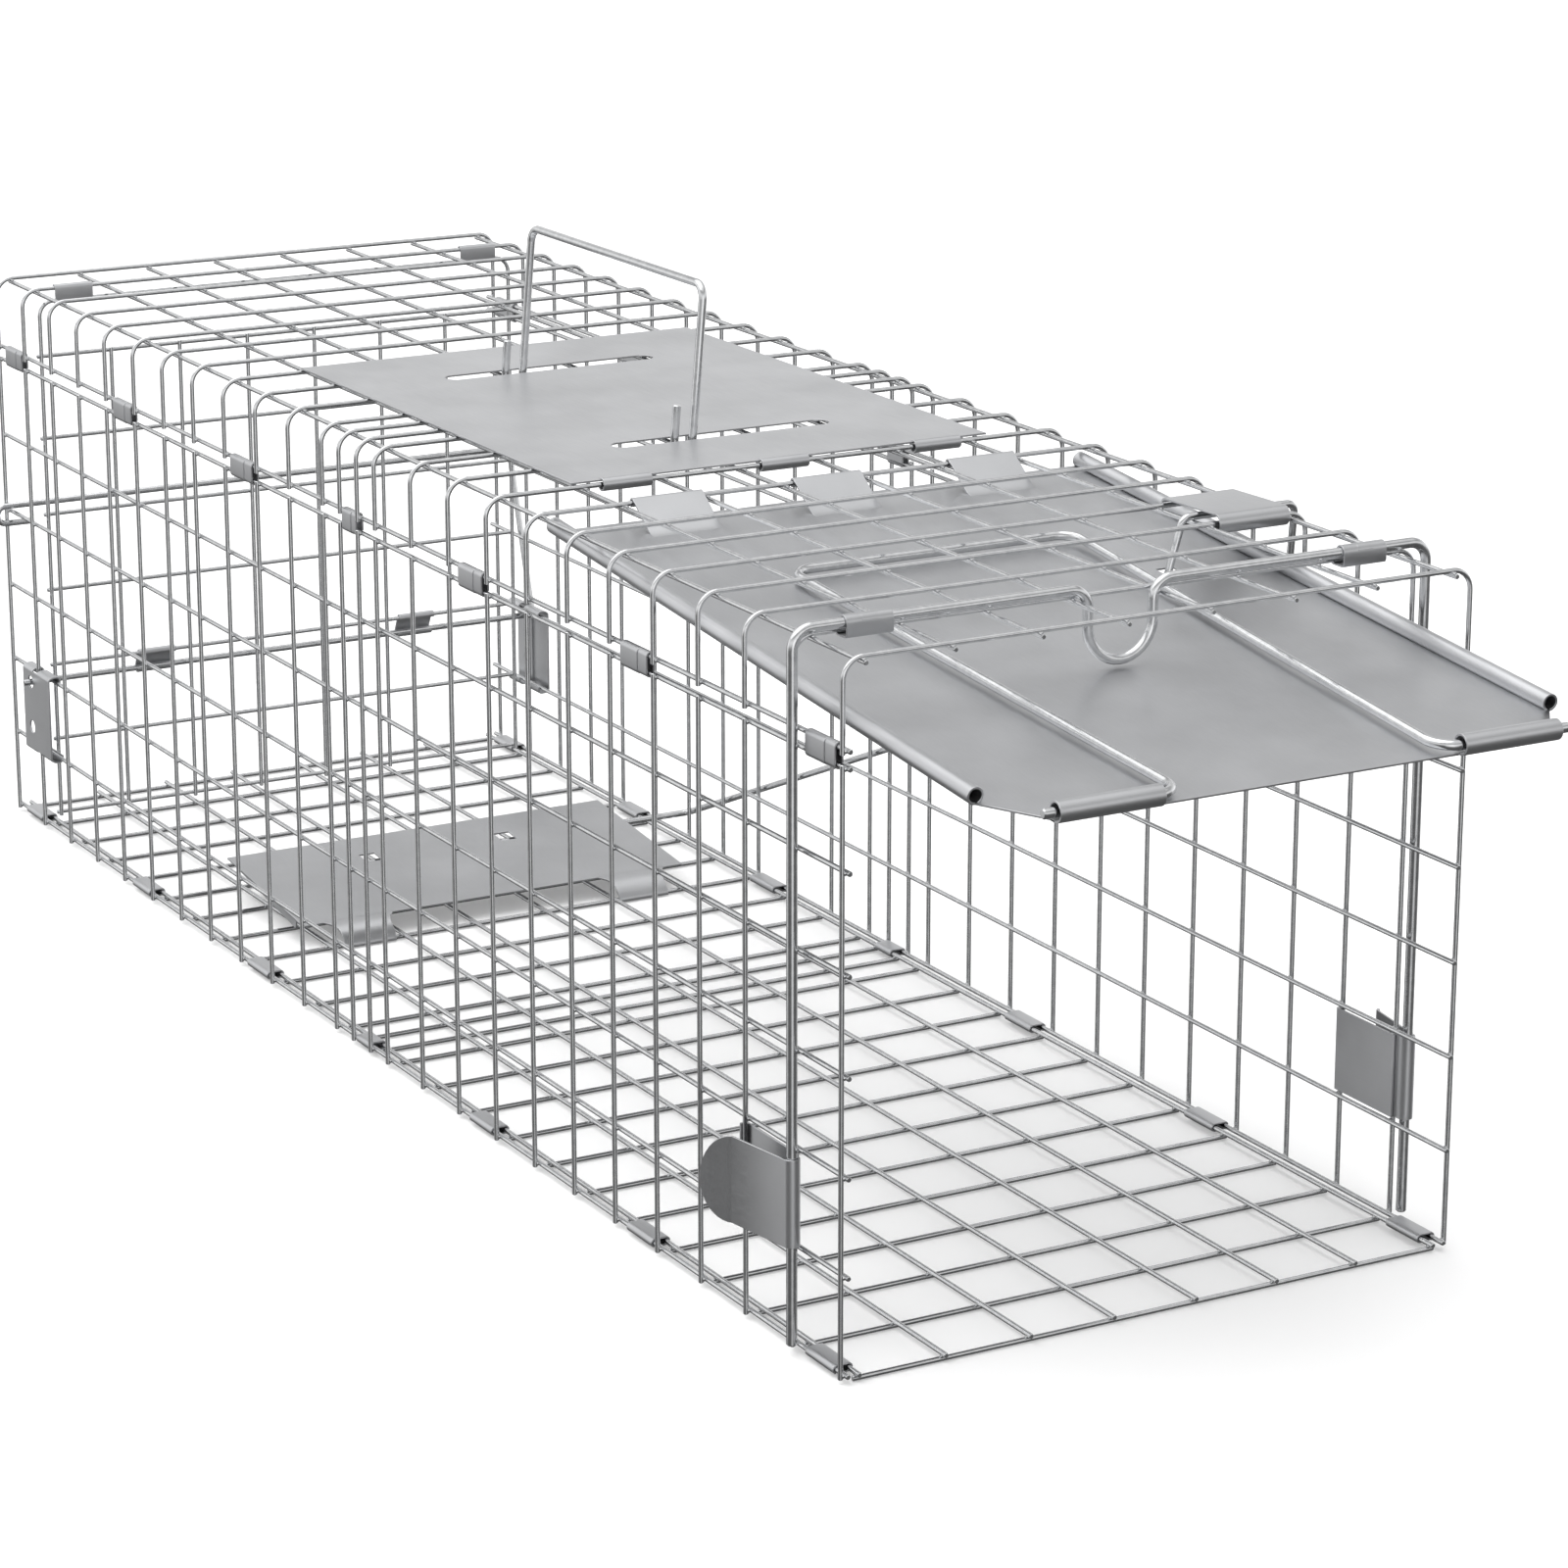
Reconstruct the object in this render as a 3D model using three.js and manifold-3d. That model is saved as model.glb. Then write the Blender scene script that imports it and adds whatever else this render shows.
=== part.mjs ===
// Live catch trap: a welded wire cage with a drop door at the front, a foot pedal and trigger rod,
// a lift-out rear gate held by a spring pin, and a carrying handle over a sheet hand guard.
// Millimetres. X runs across the cage, Y from the door end to the rear, Z up, floor at Z = 0.
import * as THREE from "three";
import { mergeVertices } from "three/addons/utils/BufferGeometryUtils.js";
import Module from "manifold-3d";

const wasm = await Module();
wasm.setup();

// Stock
const MESH_WIRE = 2;
const FRAME_ROD = 4;
const BAIL_WIRE = 4;
const HANDLE_WIRE = 3.5;
const PIN_WIRE = 3;
const TRIGGER_WIRE = 3;
const SHEET = 0.8;
const GAP = 0.3;

// Cage
const CELL = 34.6;
const FRONT_WIRES = 12;
const REAR_WIRES = 12;
const CAGE_WIDTH = 260.4;
const SIDE_ROWS = 7;
const ROW_PITCH = 37.28;
const SEAM_STEP = 6.3;
const ROOF_RISE = 38.9;
const ROOF_ROWS = 8;
const ROOF_INSET = 6;
const ROOF_BEND = 7;
const FLOOR_ROWS = 8;
const FLOOR_INSET = 4.7;
const WIRE_TAIL = 3;
const WELD_LIFT = 0.6;
const WELD_STUB = 1.5;
const WIRE_SIDES = 5;
const ROD_SIDES = 6;

// Seam clips: the cell that each one sits in, counted from the front, and how long it is
const SEAM_CLIPS = [
  { cell: 0.45, length: 20 },
  { cell: 4.45, length: 20 },
  { cell: 8.45, length: 20 },
  { cell: 11.75, length: 13 },
  { cell: 15, length: 22 },
  { cell: 18.95, length: 20 },
  { cell: 22.95, length: 20 },
];
const CLIP_ARC = Math.PI / 3;
const CLIP_PLAY = 0.2;
const SMALL_CLIP = 19;

// Front frame rod and its spring brackets
const FRAME_OFFSET = 4;
const FRAME_OVER_ROOF = 3.6;
const FRAME_FOOT = 4;
const FRAME_BEND = 9;
const LOOP_BEND = 6;
const FRAME_CLIP_INSET = 19.2;
const BRACKET_ROW_GAP = 0.94;
const BRACKET_PLATE = 30;
const BRACKET_SPREAD = 4.5;
const EAR_LENGTH = 9;
const EAR_SPREAD = 9;

// Drop door and its lock bail
const DOOR_CELL = 7;
const DOOR_SET_TILT = THREE.MathUtils.degToRad(5.22);
const DOOR_DROP = 7.8;
const DOOR_LENGTH = 333.6;
const DOOR_REAR_LIP = 1;
const DOOR_SIDE_END = 309.5;
const ROLL_RADIUS = 2.85;
const ROLL_END = THREE.MathUtils.degToRad(-378);
const TUBE_RADIUS = 3.85;
const TUBE_INNER_X = 61.8;
const TUBE_OUTER_X = 103.2;
const CHAMFER_END = 331;
const DOOR_KNUCKLE = 30.6;
const BAIL_LENGTH = 251;
const BAIL_FRONT_X = 53.1;
const BAIL_REAR_X = 62.7;
const BAIL_PIN_TAIL = 5.3;

// Hand guard and handle
const GUARD_CELL = 8;
const GUARD_END_CELL = 15.5;
const GUARD_WIDTH = 190;
const GUARD_KNUCKLE = 21.5;
const SLOT_LENGTH = 100;
const SLOT_WIDTH = 10;
const HANDLE_CELLS = [9.5, 14];
const HANDLE_ROW = 3;
const HANDLE_HEIGHT = 67;
const HANDLE_HOOK = 4.2;
const HANDLE_PIN = 18;
const HANDLE_BEND = 6;
const HANDLE_LEAN = THREE.MathUtils.degToRad(5);

// Pedal, trigger rod and the cover that holds the rod down on the roof
const PEDAL_CELL = 15.5;
const PEDAL_WIDTH = 194;
const PEDAL_FRONT = 11.7;
const PEDAL_REAR = 99;
const PEDAL_LIFT = 7.1;
const PEDAL_TILT = THREE.MathUtils.degToRad(5.8);
const CURL_INSET = 3.214;
const CURL_WIDTH = 25.5;
const FLANGE_FRONT = 20;
const FLANGE_DEPTH = 4.2;
const TONGUE_X = 35;
const TONGUE_WIDTH = 8;
const CROSSBAR_Y = 76;
const CROSSBAR_Z = 11.3;
const CROSSBAR_END_X = -45;
const TRIGGER_PIVOT_CELL = 3.353;
const TRIGGER_KNEE_DROP = 49;
const TRIGGER_KNEE_SHIFT = 5;
const HOOK_TOP_X = 83.8;
const HOOK_TIP_X = 76.5;
const HOOK_DROP = 24.7;
const CATCH_HOLE = [14, 12];
const COVER_LENGTH = 32;
const COVER_RISE = 3.1;

// Rear gate, its pin and the brackets that the pin runs through
const GATE_CELL = 22.5;
const GATE_SIDE_GAP = 6.5;
const GATE_DROP = 6;
const GATE_BOTTOM = 5.2;
const GATE_FIRST_ROW = 6.7;
const GATE_ROWS = 6;
const GATE_WIRES = 8;
const GATE_BEND = 7;
const PIN_REACH = 5.5;
const PIN_DROP = 8.3;
const PIN_ARM_REACH = 24.4;
const PIN_TURN = 4.25;
const PIN_RETURN = 13;
const PIN_TAIL = 3;
const PIN_BEND = 4;
const PIN_CLIP_INSET = 18.357;
const REAR_BRACKET_FRONT = -18.5;
const REAR_BRACKET_BACK = 15.5;
const BRACKET_HOLE = 6.4;
const HOLE_PITCH = 22.5;
const BRACKET_NOTCH = 6;

// Places worked out from the sizes above
const station = (cells) => cells * CELL;
const STATIONS = [
  ...Array.from({ length: FRONT_WIRES }, (_, i) => i),
  FRONT_WIRES - 0.5,
  FRONT_WIRES,
  ...Array.from({ length: REAR_WIRES }, (_, i) => FRONT_WIRES + 0.5 + i),
].map(station);
const LAST = STATIONS.length - 1;
const apex = (diameter, sides) => diameter / 2 / Math.cos(Math.PI / sides);
const WIRE_APEX = apex(MESH_WIRE, WIRE_SIDES);
const HALF_WIDTH = CAGE_WIDTH / 2;
const UPRIGHT_X = HALF_WIDTH + MESH_WIRE;
const FLOOR_Z = MESH_WIRE / 2;
const ROW_Z = FLOOR_Z + MESH_WIRE;
const sideRowZ = (row) => ROW_Z + row * ROW_PITCH;
const SIDE_TOP_Z = sideRowZ(SIDE_ROWS - 1);
const FLANGE_Z = SIDE_TOP_Z + SEAM_STEP;
const ROOF_Z = SIDE_TOP_Z + ROOF_RISE;
const ROOF_ROW_Z = ROOF_Z - MESH_WIRE - WELD_LIFT;
const spread = (count, halfWidth) => (i) => -halfWidth + (2 * halfWidth * i) / (count - 1);
const roofRowX = spread(ROOF_ROWS, HALF_WIDTH - ROOF_INSET);
const floorRowX = spread(FLOOR_ROWS, HALF_WIDTH - FLOOR_INSET);
const betweenRoofRows = (i) => (roofRowX(i) + roofRowX(i + 1)) / 2;
const KNUCKLE_X = [1, 3, 5].map(betweenRoofRows);
const FRAME_Y = station(1) - FRAME_OFFSET;
const FRAME_X = HALF_WIDTH + WIRE_APEX + GAP + apex(FRAME_ROD, ROD_SIDES);
const FRAME_TOP_Z = ROOF_Z + FRAME_OVER_ROOF;
const FRAME_CLIP_X = roofRowX(ROOF_ROWS - 1) - FRAME_CLIP_INSET;
const BRACKET_HEIGHT = ROW_PITCH - MESH_WIRE - 2 * BRACKET_ROW_GAP;
const LOOP_X = roofRowX(4) - WIRE_APEX - GAP - apex(FRAME_ROD, ROD_SIDES);
const DOOR_Y = station(DOOR_CELL);
const ROLL_X = HALF_WIDTH - ROOF_INSET - WIRE_APEX - 2 * GAP - ROLL_RADIUS - SHEET / 2;
const PLATE_Z = -DOOR_DROP - SHEET / 2;
const doorTopZ = (y) =>
  ROOF_Z - DOOR_DROP / Math.cos(DOOR_SET_TILT) - (DOOR_Y - y) * Math.tan(DOOR_SET_TILT);
const GUARD_Z = ROOF_Z + MESH_WIRE / 2 + GAP + SHEET / 2;
const PEDAL_Y = station(PEDAL_CELL);
const CURL_INNER_X = floorRowX(5) + CURL_INSET;
const CURL_OUTER_X = CURL_INNER_X + CURL_WIDTH;
const TRIGGER_X = UPRIGHT_X + WIRE_APEX + GAP + apex(TRIGGER_WIRE, ROD_SIDES) + 0.1;
const TRIGGER_Y = station(TRIGGER_PIVOT_CELL);
const TRIGGER_Z = ROOF_ROW_Z + WIRE_APEX + GAP + apex(TRIGGER_WIRE, ROD_SIDES);
const GATE_Y = station(GATE_CELL);
const GATE_X = HALF_WIDTH - GATE_SIDE_GAP;
const GATE_TOP_Z = ROOF_Z - GATE_DROP;
const gateWireX = spread(GATE_WIRES, GATE_X);
const PIN_CLIP_X = gateWireX(GATE_WIRES - 2) - PIN_CLIP_INSET;
const PIN_Y = GATE_Y + PIN_REACH;
const PIN_ROW_Z = GATE_FIRST_ROW + 2 * ROW_PITCH;
const PIN_Z = PIN_ROW_Z - PIN_DROP;
const BRACKET_X = UPRIGHT_X + WIRE_APEX + GAP + SHEET / 2;
const PIN_X = BRACKET_X + SHEET / 2 + 2 * GAP + apex(PIN_WIRE, ROD_SIDES);
const REAR_Y = STATIONS[LAST] + WIRE_TAIL;

const WIRE = { color: 0xc9ccd0, roughness: 0.25, metalness: 1 };
const PLATE = { color: 0xb4b6b9, roughness: 0.42, metalness: 1 };

const group = new THREE.Group();

function addMesh(parent, name, geometry, finish) {
  const mesh = new THREE.Mesh(geometry, new THREE.MeshStandardMaterial(finish));
  mesh.name = name;
  parent.add(mesh);
  return mesh;
}

// Solids ---------------------------------------------------------------------------------------

function toSolid(geometry) {
  const bare = geometry.clone();
  bare.deleteAttribute("normal");
  bare.deleteAttribute("uv");
  const merged = mergeVertices(bare, 1e-4);
  const vertProperties = new Float32Array(merged.attributes.position.array);
  const triVerts = new Uint32Array(merged.index.array);
  return new wasm.Manifold(new wasm.Mesh({ numProp: 3, vertProperties, triVerts }));
}

function toGeometry(solid) {
  const mesh = solid.getMesh();
  const positions = new THREE.BufferAttribute(new Float32Array(mesh.vertProperties), 3);
  const geometry = new THREE.BufferGeometry().setAttribute("position", positions);
  geometry.setIndex(new THREE.BufferAttribute(new Uint32Array(mesh.triVerts), 1));
  geometry.computeVertexNormals();
  return geometry;
}

const join = (geometries) => toGeometry(geometries.map(toSolid).reduce((all, one) => all.add(one)));
const cut = (geometry, tools) =>
  toGeometry(tools.map(toSolid).reduce((left, tool) => left.subtract(tool), toSolid(geometry)));

function box(low, high) {
  const size = high.map((value, i) => value - low[i]);
  const geometry = new THREE.BoxGeometry(...size);
  return geometry.translate(...low.map((value, i) => value + size[i] / 2));
}

// Wires ----------------------------------------------------------------------------------------

const vec = (x, y, z) => new THREE.Vector3(x, y, z);

// A path through given points that an extrusion follows point by point, without resampling.
class WirePath extends THREE.Curve {
  constructor(points) {
    super();
    this.points = points;
  }

  getPointAt(u, target = new THREE.Vector3()) {
    const index = Math.round(u * (this.points.length - 1));
    return target.copy(this.points[index]);
  }

  getTangentAt(u, target = new THREE.Vector3()) {
    const last = this.points.length - 1;
    const index = Math.round(u * last);
    const here = this.points[index];
    const before = this.points[Math.max(index - 1, 0)];
    const after = this.points[Math.min(index + 1, last)];
    const incoming = here.clone().sub(before).normalize();
    const outgoing = after.clone().sub(here).normalize();
    return target.copy(incoming.add(outgoing)).normalize();
  }
}

// Rounds each inner corner of a run of points with an arc of the given radius.
function bend(corners, radius, segments = 2) {
  const points = [corners[0]];
  for (let i = 1; i < corners.length - 1; i++) {
    const here = corners[i];
    const back = corners[i - 1].clone().sub(here).normalize();
    const ahead = corners[i + 1].clone().sub(here).normalize();
    const half = back.angleTo(ahead) / 2;
    const centre = here.clone().addScaledVector(
      back.clone().add(ahead).normalize(),
      radius / Math.sin(half),
    );
    const start = here.clone().addScaledVector(back, radius / Math.tan(half));
    const axis = back.clone().cross(ahead).normalize();
    const sweep = Math.PI - 2 * half;
    for (let step = 0; step <= segments; step++) {
      const arm = start.clone().sub(centre).applyAxisAngle(axis, (-sweep * step) / segments);
      points.push(centre.clone().add(arm));
    }
  }
  points.push(corners[corners.length - 1]);
  return points;
}

// A wire of flat-sided section, one corner of which faces the given way at its start.
function wire(points, diameter, sides, cornerTowards = vec(0, 0, 1)) {
  const path = new WirePath(points);
  const steps = points.length - 1;
  const { normals, binormals } = path.computeFrenetFrames(steps, false);
  const turn = Math.atan2(cornerTowards.dot(binormals[0]), cornerTowards.dot(normals[0]));
  const radius = apex(diameter, sides);
  const corners = Array.from({ length: sides }, (_, i) => {
    const angle = turn + (2 * Math.PI * i) / sides;
    return new THREE.Vector2(radius * Math.cos(angle), radius * Math.sin(angle));
  });
  const options = { steps, extrudePath: path, bevelEnabled: false };
  return new THREE.ExtrudeGeometry(new THREE.Shape(corners), options);
}

const meshWire = (points, cornerTowards) => wire(points, MESH_WIRE, WIRE_SIDES, cornerTowards);
const rod = (points, diameter) => wire(points, diameter, ROD_SIDES);
const lengthwise = (x, z, from, to, cornerTowards) =>
  meshWire([vec(x, from, z), vec(x, to, z)], cornerTowards);

// Sheet ----------------------------------------------------------------------------------------

// The outline of a sheet strip of the stock's thickness along a run of points.
function stripShape(run) {
  const side = (sign) =>
    run.map((point, i) => {
      const before = run[Math.max(i - 1, 0)];
      const after = run[Math.min(i + 1, run.length - 1)];
      const incoming = point.clone().sub(before).normalize();
      const outgoing = after.clone().sub(point).normalize();
      const along = incoming.clone().add(outgoing).normalize();
      const widen = i === 0 || i === run.length - 1 ? 1 : along.dot(outgoing);
      const normal = new THREE.Vector2(-along.y, along.x);
      return point.clone().addScaledVector(normal, (sign * SHEET) / 2 / widen);
    });
  return new THREE.Shape([...side(1), ...side(-1).reverse()]);
}

function extrude(shape, depth) {
  return new THREE.ExtrudeGeometry(shape, { depth, bevelEnabled: false });
}

// Turns an extrusion drawn in X and Y, with its depth along Z, into one drawn in (Y, Z) along X.
function alongX(geometry, centreX, depth) {
  const turned = new THREE.Matrix4().makeBasis(vec(0, 1, 0), vec(0, 0, 1), vec(1, 0, 0));
  return geometry.applyMatrix4(turned).translate(centreX - depth / 2, 0, 0);
}

// The same for one drawn in (X, Z), with its depth along Y.
function alongY(geometry, centreY, depth) {
  const turned = new THREE.Matrix4().makeBasis(vec(-1, 0, 0), vec(0, 0, 1), vec(0, 1, 0));
  return geometry.applyMatrix4(turned).translate(0, centreY - depth / 2, 0);
}

const at2 = (x, y) => new THREE.Vector2(x, y);
const clipRadius = (diameter, sides) =>
  (apex(diameter, sides) + CLIP_PLAY + SHEET / 2) / Math.cos(CLIP_ARC / 2);

function arcRun(centre, radius, from, to) {
  const segments = Math.ceil(Math.abs(to - from) / CLIP_ARC - 0.01);
  return Array.from({ length: segments + 1 }, (_, i) => {
    const angle = from + ((to - from) * i) / segments;
    return at2(centre.x + radius * Math.cos(angle), centre.y + radius * Math.sin(angle));
  });
}

// A strip folded over one wire, along to a second one on the left of the way from a to b, and
// under that. It overlaps both by the given turn.
function foldedClip(a, b, radiusA, radiusB, turnA = Math.PI, turnB = (5 * Math.PI) / 6) {
  const way = Math.atan2(b.y - a.y, b.x - a.x);
  const outward = way + Math.PI / 2;
  return stripShape([
    ...arcRun(a, radiusA, outward + turnA, outward),
    ...arcRun(b, radiusB, outward, outward - turnB),
  ]);
}

// Cage panels ----------------------------------------------------------------------------------

const isEnd = (i, last) => i === 0 || i === last;

// Each upright is welded to the top and bottom rows; the rows between are welded to the end
// uprights, and pass the others a hair's breadth away.
function sidePanel(side) {
  const inward = vec(-side, 0, 0);
  const uprights = STATIONS.map((y, i) => {
    const x = side * (UPRIGHT_X - (isEnd(i, LAST) ? WELD_LIFT : 0));
    const ends = [vec(x, y, ROW_Z - WELD_STUB), vec(x, y, SIDE_TOP_Z + WELD_STUB)];
    return meshWire(ends, inward);
  });
  const rows = Array.from({ length: SIDE_ROWS }, (_, row) => {
    const x = side * (HALF_WIDTH - (isEnd(row, SIDE_ROWS - 1) ? 0 : WELD_LIFT));
    return lengthwise(x, sideRowZ(row), -WIRE_TAIL, REAR_Y, vec(side, 0, 0));
  });
  return join([...rows, ...uprights]);
}

// Bent over the cage: every wire across is welded to the two flange rows, and the end ones also
// to the rows under the roof.
function roofPanel() {
  const bows = STATIONS.map((y, i) => {
    const lift = isEnd(i, LAST) ? WELD_LIFT : 0;
    const [x, foot, top] = [UPRIGHT_X - lift, FLANGE_Z - WELD_STUB, ROOF_Z - lift];
    const corners = [vec(-x, y, foot), vec(-x, y, top), vec(x, y, top), vec(x, y, foot)];
    return meshWire(bend(corners, ROOF_BEND), vec(1, 0, 0));
  });
  const flanges = [-1, 1].map((side) =>
    lengthwise(side * HALF_WIDTH, FLANGE_Z, -WIRE_TAIL, REAR_Y, vec(side, 0, 0)),
  );
  const rows = Array.from({ length: ROOF_ROWS }, (_, i) =>
    lengthwise(roofRowX(i), ROOF_ROW_Z, -WIRE_TAIL, REAR_Y, vec(0, 0, 1)),
  );
  return join([...flanges, ...bows, ...rows]);
}

// The wires across are lowest and carry the trap; their undersides are flat.
function floorPanel() {
  const reach = HALF_WIDTH - FLOOR_INSET + MESH_WIRE * 0.9;
  const across = STATIONS.map((y, i) => {
    const z = FLOOR_Z + (isEnd(i, LAST) ? WELD_LIFT : 0);
    return meshWire([vec(-reach, y, z), vec(reach, y, z)], vec(0, 0, 1));
  });
  const rows = Array.from({ length: FLOOR_ROWS }, (_, i) => {
    const z = ROW_Z + (isEnd(i, FLOOR_ROWS - 1) ? 0 : WELD_LIFT);
    return lengthwise(floorRowX(i), z, -WIRE_TAIL, REAR_Y, vec(0, 0, -1));
  });
  return join([...across, ...rows]);
}

function rearGate() {
  const rowY = GATE_Y + MESH_WIRE;
  const [left, right] = [-GATE_X, GATE_X];
  const hoop = bend(
    [
      vec(left, GATE_Y, GATE_BOTTOM),
      vec(left, GATE_Y, GATE_TOP_Z),
      vec(right, GATE_Y, GATE_TOP_Z),
      vec(right, GATE_Y, GATE_BOTTOM),
    ],
    GATE_BEND,
  );
  const rowZ = [
    ...Array.from({ length: GATE_ROWS }, (_, i) => GATE_FIRST_ROW + i * ROW_PITCH),
    FLANGE_Z,
  ];
  const reach = GATE_X + WELD_STUB;
  const rows = rowZ.map((z) =>
    meshWire([vec(-reach, rowY, z), vec(reach, rowY, z)], vec(0, -1, 0)),
  );
  const uprights = Array.from({ length: GATE_WIRES - 2 }, (_, i) => {
    const x = gateWireX(i + 1);
    const ends = [vec(x, GATE_Y, GATE_BOTTOM), vec(x, GATE_Y, FLANGE_Z + MESH_WIRE)];
    return meshWire(ends, vec(0, 1, 0));
  });
  return join([meshWire(hoop, vec(0, 1, 0)), ...rows, ...uprights]);
}

function addCage() {
  addMesh(group, "side_panel_left", sidePanel(-1), WIRE);
  addMesh(group, "side_panel_right", sidePanel(1), WIRE);
  addMesh(group, "roof_panel", roofPanel(), WIRE);
  addMesh(group, "floor_panel", floorPanel(), WIRE);
  addMesh(group, "rear_gate", rearGate(), WIRE);
}

// Seam clips -----------------------------------------------------------------------------------

function addSeamClips() {
  const radius = clipRadius(MESH_WIRE, WIRE_SIDES);
  const flangeWire = at2(0, SEAM_STEP);
  const rowWire = at2(0, 0);
  for (const side of [-1, 1]) {
    const name = side < 0 ? "left" : "right";
    SEAM_CLIPS.forEach(({ cell, length }, i) => {
      const y = station(cell);
      const roofShape = foldedClip(flangeWire, rowWire, radius, radius);
      const roofClip = alongY(extrude(roofShape, length), 0, length);
      if (side < 0) roofClip.rotateZ(Math.PI);
      const upper = addMesh(group, `roof_clip_${name}_${i + 1}`, roofClip, PLATE);
      upper.position.set(side * HALF_WIDTH, y, SIDE_TOP_Z);

      const inner = at2(FLOOR_INSET, 0);
      const floorShape = foldedClip(inner, rowWire, radius, radius, (2 * Math.PI) / 3);
      const floorClip = alongY(extrude(floorShape, length), 0, length);
      if (side < 0) floorClip.rotateZ(Math.PI);
      const lower = addMesh(group, `floor_clip_${name}_${i + 1}`, floorClip, PLATE);
      lower.position.set(side * HALF_WIDTH, y, ROW_Z);
    });
  }
}

// Front frame ----------------------------------------------------------------------------------

// A rod bowed over the cage, with a round finger loop in its middle that the door hangs under.
function frameRod() {
  const loopZ = doorTopZ(FRAME_Y) + 2 * GAP + apex(FRAME_ROD, ROD_SIDES);
  const side = (sign) => [
    vec(sign * FRAME_X, 0, FRAME_FOOT),
    vec(sign * FRAME_X, 0, FRAME_TOP_Z),
    vec(sign * LOOP_X, 0, FRAME_TOP_Z),
    vec(sign * LOOP_X, 0, loopZ + LOOP_X),
  ];
  const left = bend(side(-1), (FRAME_BEND + LOOP_BEND) / 2, 3);
  const right = bend(side(1), (FRAME_BEND + LOOP_BEND) / 2, 3).reverse();
  const arcSteps = 6;
  const loop = Array.from({ length: arcSteps - 1 }, (_, i) => {
    const angle = Math.PI + (Math.PI * (i + 1)) / arcSteps;
    return vec(LOOP_X * Math.cos(angle), 0, loopZ + LOOP_X + LOOP_X * Math.sin(angle));
  });
  return rod([...left, ...loop, ...right], FRAME_ROD);
}

// A spring bracket: one leaf hooked on the second upright, a fold round the rod, and an outer leaf
// that ends in a rounded ear for the thumb.
function springBracket(side) {
  const radius = (apex(FRAME_ROD, ROD_SIDES) + CLIP_PLAY + SHEET / 2) / Math.cos(CLIP_ARC / 2);
  const uprightX = UPRIGHT_X - FRAME_X;
  const uprightY = station(2) - FRAME_Y;
  const innerX = uprightX - WIRE_APEX - GAP - SHEET / 2;
  const hookY = uprightY + WIRE_APEX + GAP + SHEET / 2;
  const inner = stripShape([
    at2(uprightX + WIRE_APEX, hookY),
    at2(innerX, hookY),
    at2(innerX, radius),
    ...arcRun(at2(0, 0), radius, Math.PI, 2 * Math.PI),
    at2(radius + BRACKET_SPREAD / 6, BRACKET_PLATE / 6),
  ]);
  const elbow = at2(radius + BRACKET_SPREAD, BRACKET_PLATE);
  const ear = at2(elbow.x + EAR_SPREAD, elbow.y + EAR_LENGTH);
  const outer = stripShape([at2(radius, 0), elbow, ear]);
  const half = BRACKET_HEIGHT / 2;
  const outline = new THREE.Shape();
  outline.moveTo(-SHEET, -half);
  outline.lineTo(BRACKET_PLATE, -half);
  outline.absellipse(BRACKET_PLATE, 0, EAR_LENGTH + SHEET, half, -Math.PI / 2, Math.PI / 2);
  outline.lineTo(-SHEET, half);
  const reach = FRAME_X;
  const window = alongX(
    new THREE.ExtrudeGeometry(outline, { depth: reach, bevelEnabled: false, curveSegments: 8 }),
    0,
    reach,
  );
  const leaf = extrude(outer, BRACKET_HEIGHT).translate(0, 0, -half);
  const body = toSolid(extrude(inner, BRACKET_HEIGHT).translate(0, 0, -half));
  const bracket = toGeometry(body.add(toSolid(leaf).intersect(toSolid(window))));
  return side > 0 ? bracket : mirrorX(bracket);
}

function mirrorX(geometry) {
  const mirrored = geometry.clone().scale(-1, 1, 1);
  const index = mirrored.index.array;
  for (let i = 0; i < index.length; i += 3) {
    [index[i + 1], index[i + 2]] = [index[i + 2], index[i + 1]];
  }
  mirrored.computeVertexNormals();
  return mirrored;
}

function addFrontFrame() {
  addMesh(group, "frame_rod", frameRod(), WIRE).position.y = FRAME_Y;
  const rodRadius = clipRadius(FRAME_ROD, ROD_SIDES);
  const wireRadius = clipRadius(MESH_WIRE, WIRE_SIDES);
  const roofWire = at2(FRAME_OFFSET, -FRAME_OVER_ROOF);
  const bracketZ = (sideRowZ(1) + sideRowZ(2)) / 2;
  for (const side of [-1, 1]) {
    const name = side < 0 ? "left" : "right";
    const shape = foldedClip(roofWire, at2(0, 0), wireRadius, rodRadius, Math.PI / 2, Math.PI);
    const clip = alongX(extrude(shape, SMALL_CLIP), 0, SMALL_CLIP);
    const frameClip = addMesh(group, `frame_clip_${name}`, clip, PLATE);
    frameClip.position.set(side * FRAME_CLIP_X, FRAME_Y, FRAME_TOP_Z);
    const bracket = addMesh(group, `spring_bracket_${name}`, springBracket(side), PLATE);
    bracket.position.set(side * FRAME_X, FRAME_Y, bracketZ);
  }
}

// Drop door ------------------------------------------------------------------------------------

// The hole that the trigger's hook reaches into when the door is set.
function catchHole() {
  const reach = DOOR_Y - TRIGGER_Y - PLATE_Z * Math.sin(DOOR_SET_TILT);
  const y = -reach / Math.cos(DOOR_SET_TILT);
  const x = (HOOK_TOP_X + HOOK_TIP_X) / 2 - 2;
  const [halfX, halfY] = CATCH_HOLE.map((size) => size / 2);
  const corners = [[-halfX, -halfY], [-halfX, halfY], [halfX, halfY], [halfX, -halfY]];
  return new THREE.Path(corners.map(([dx, dy]) => at2(x + dx, y + dy)));
}

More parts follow.
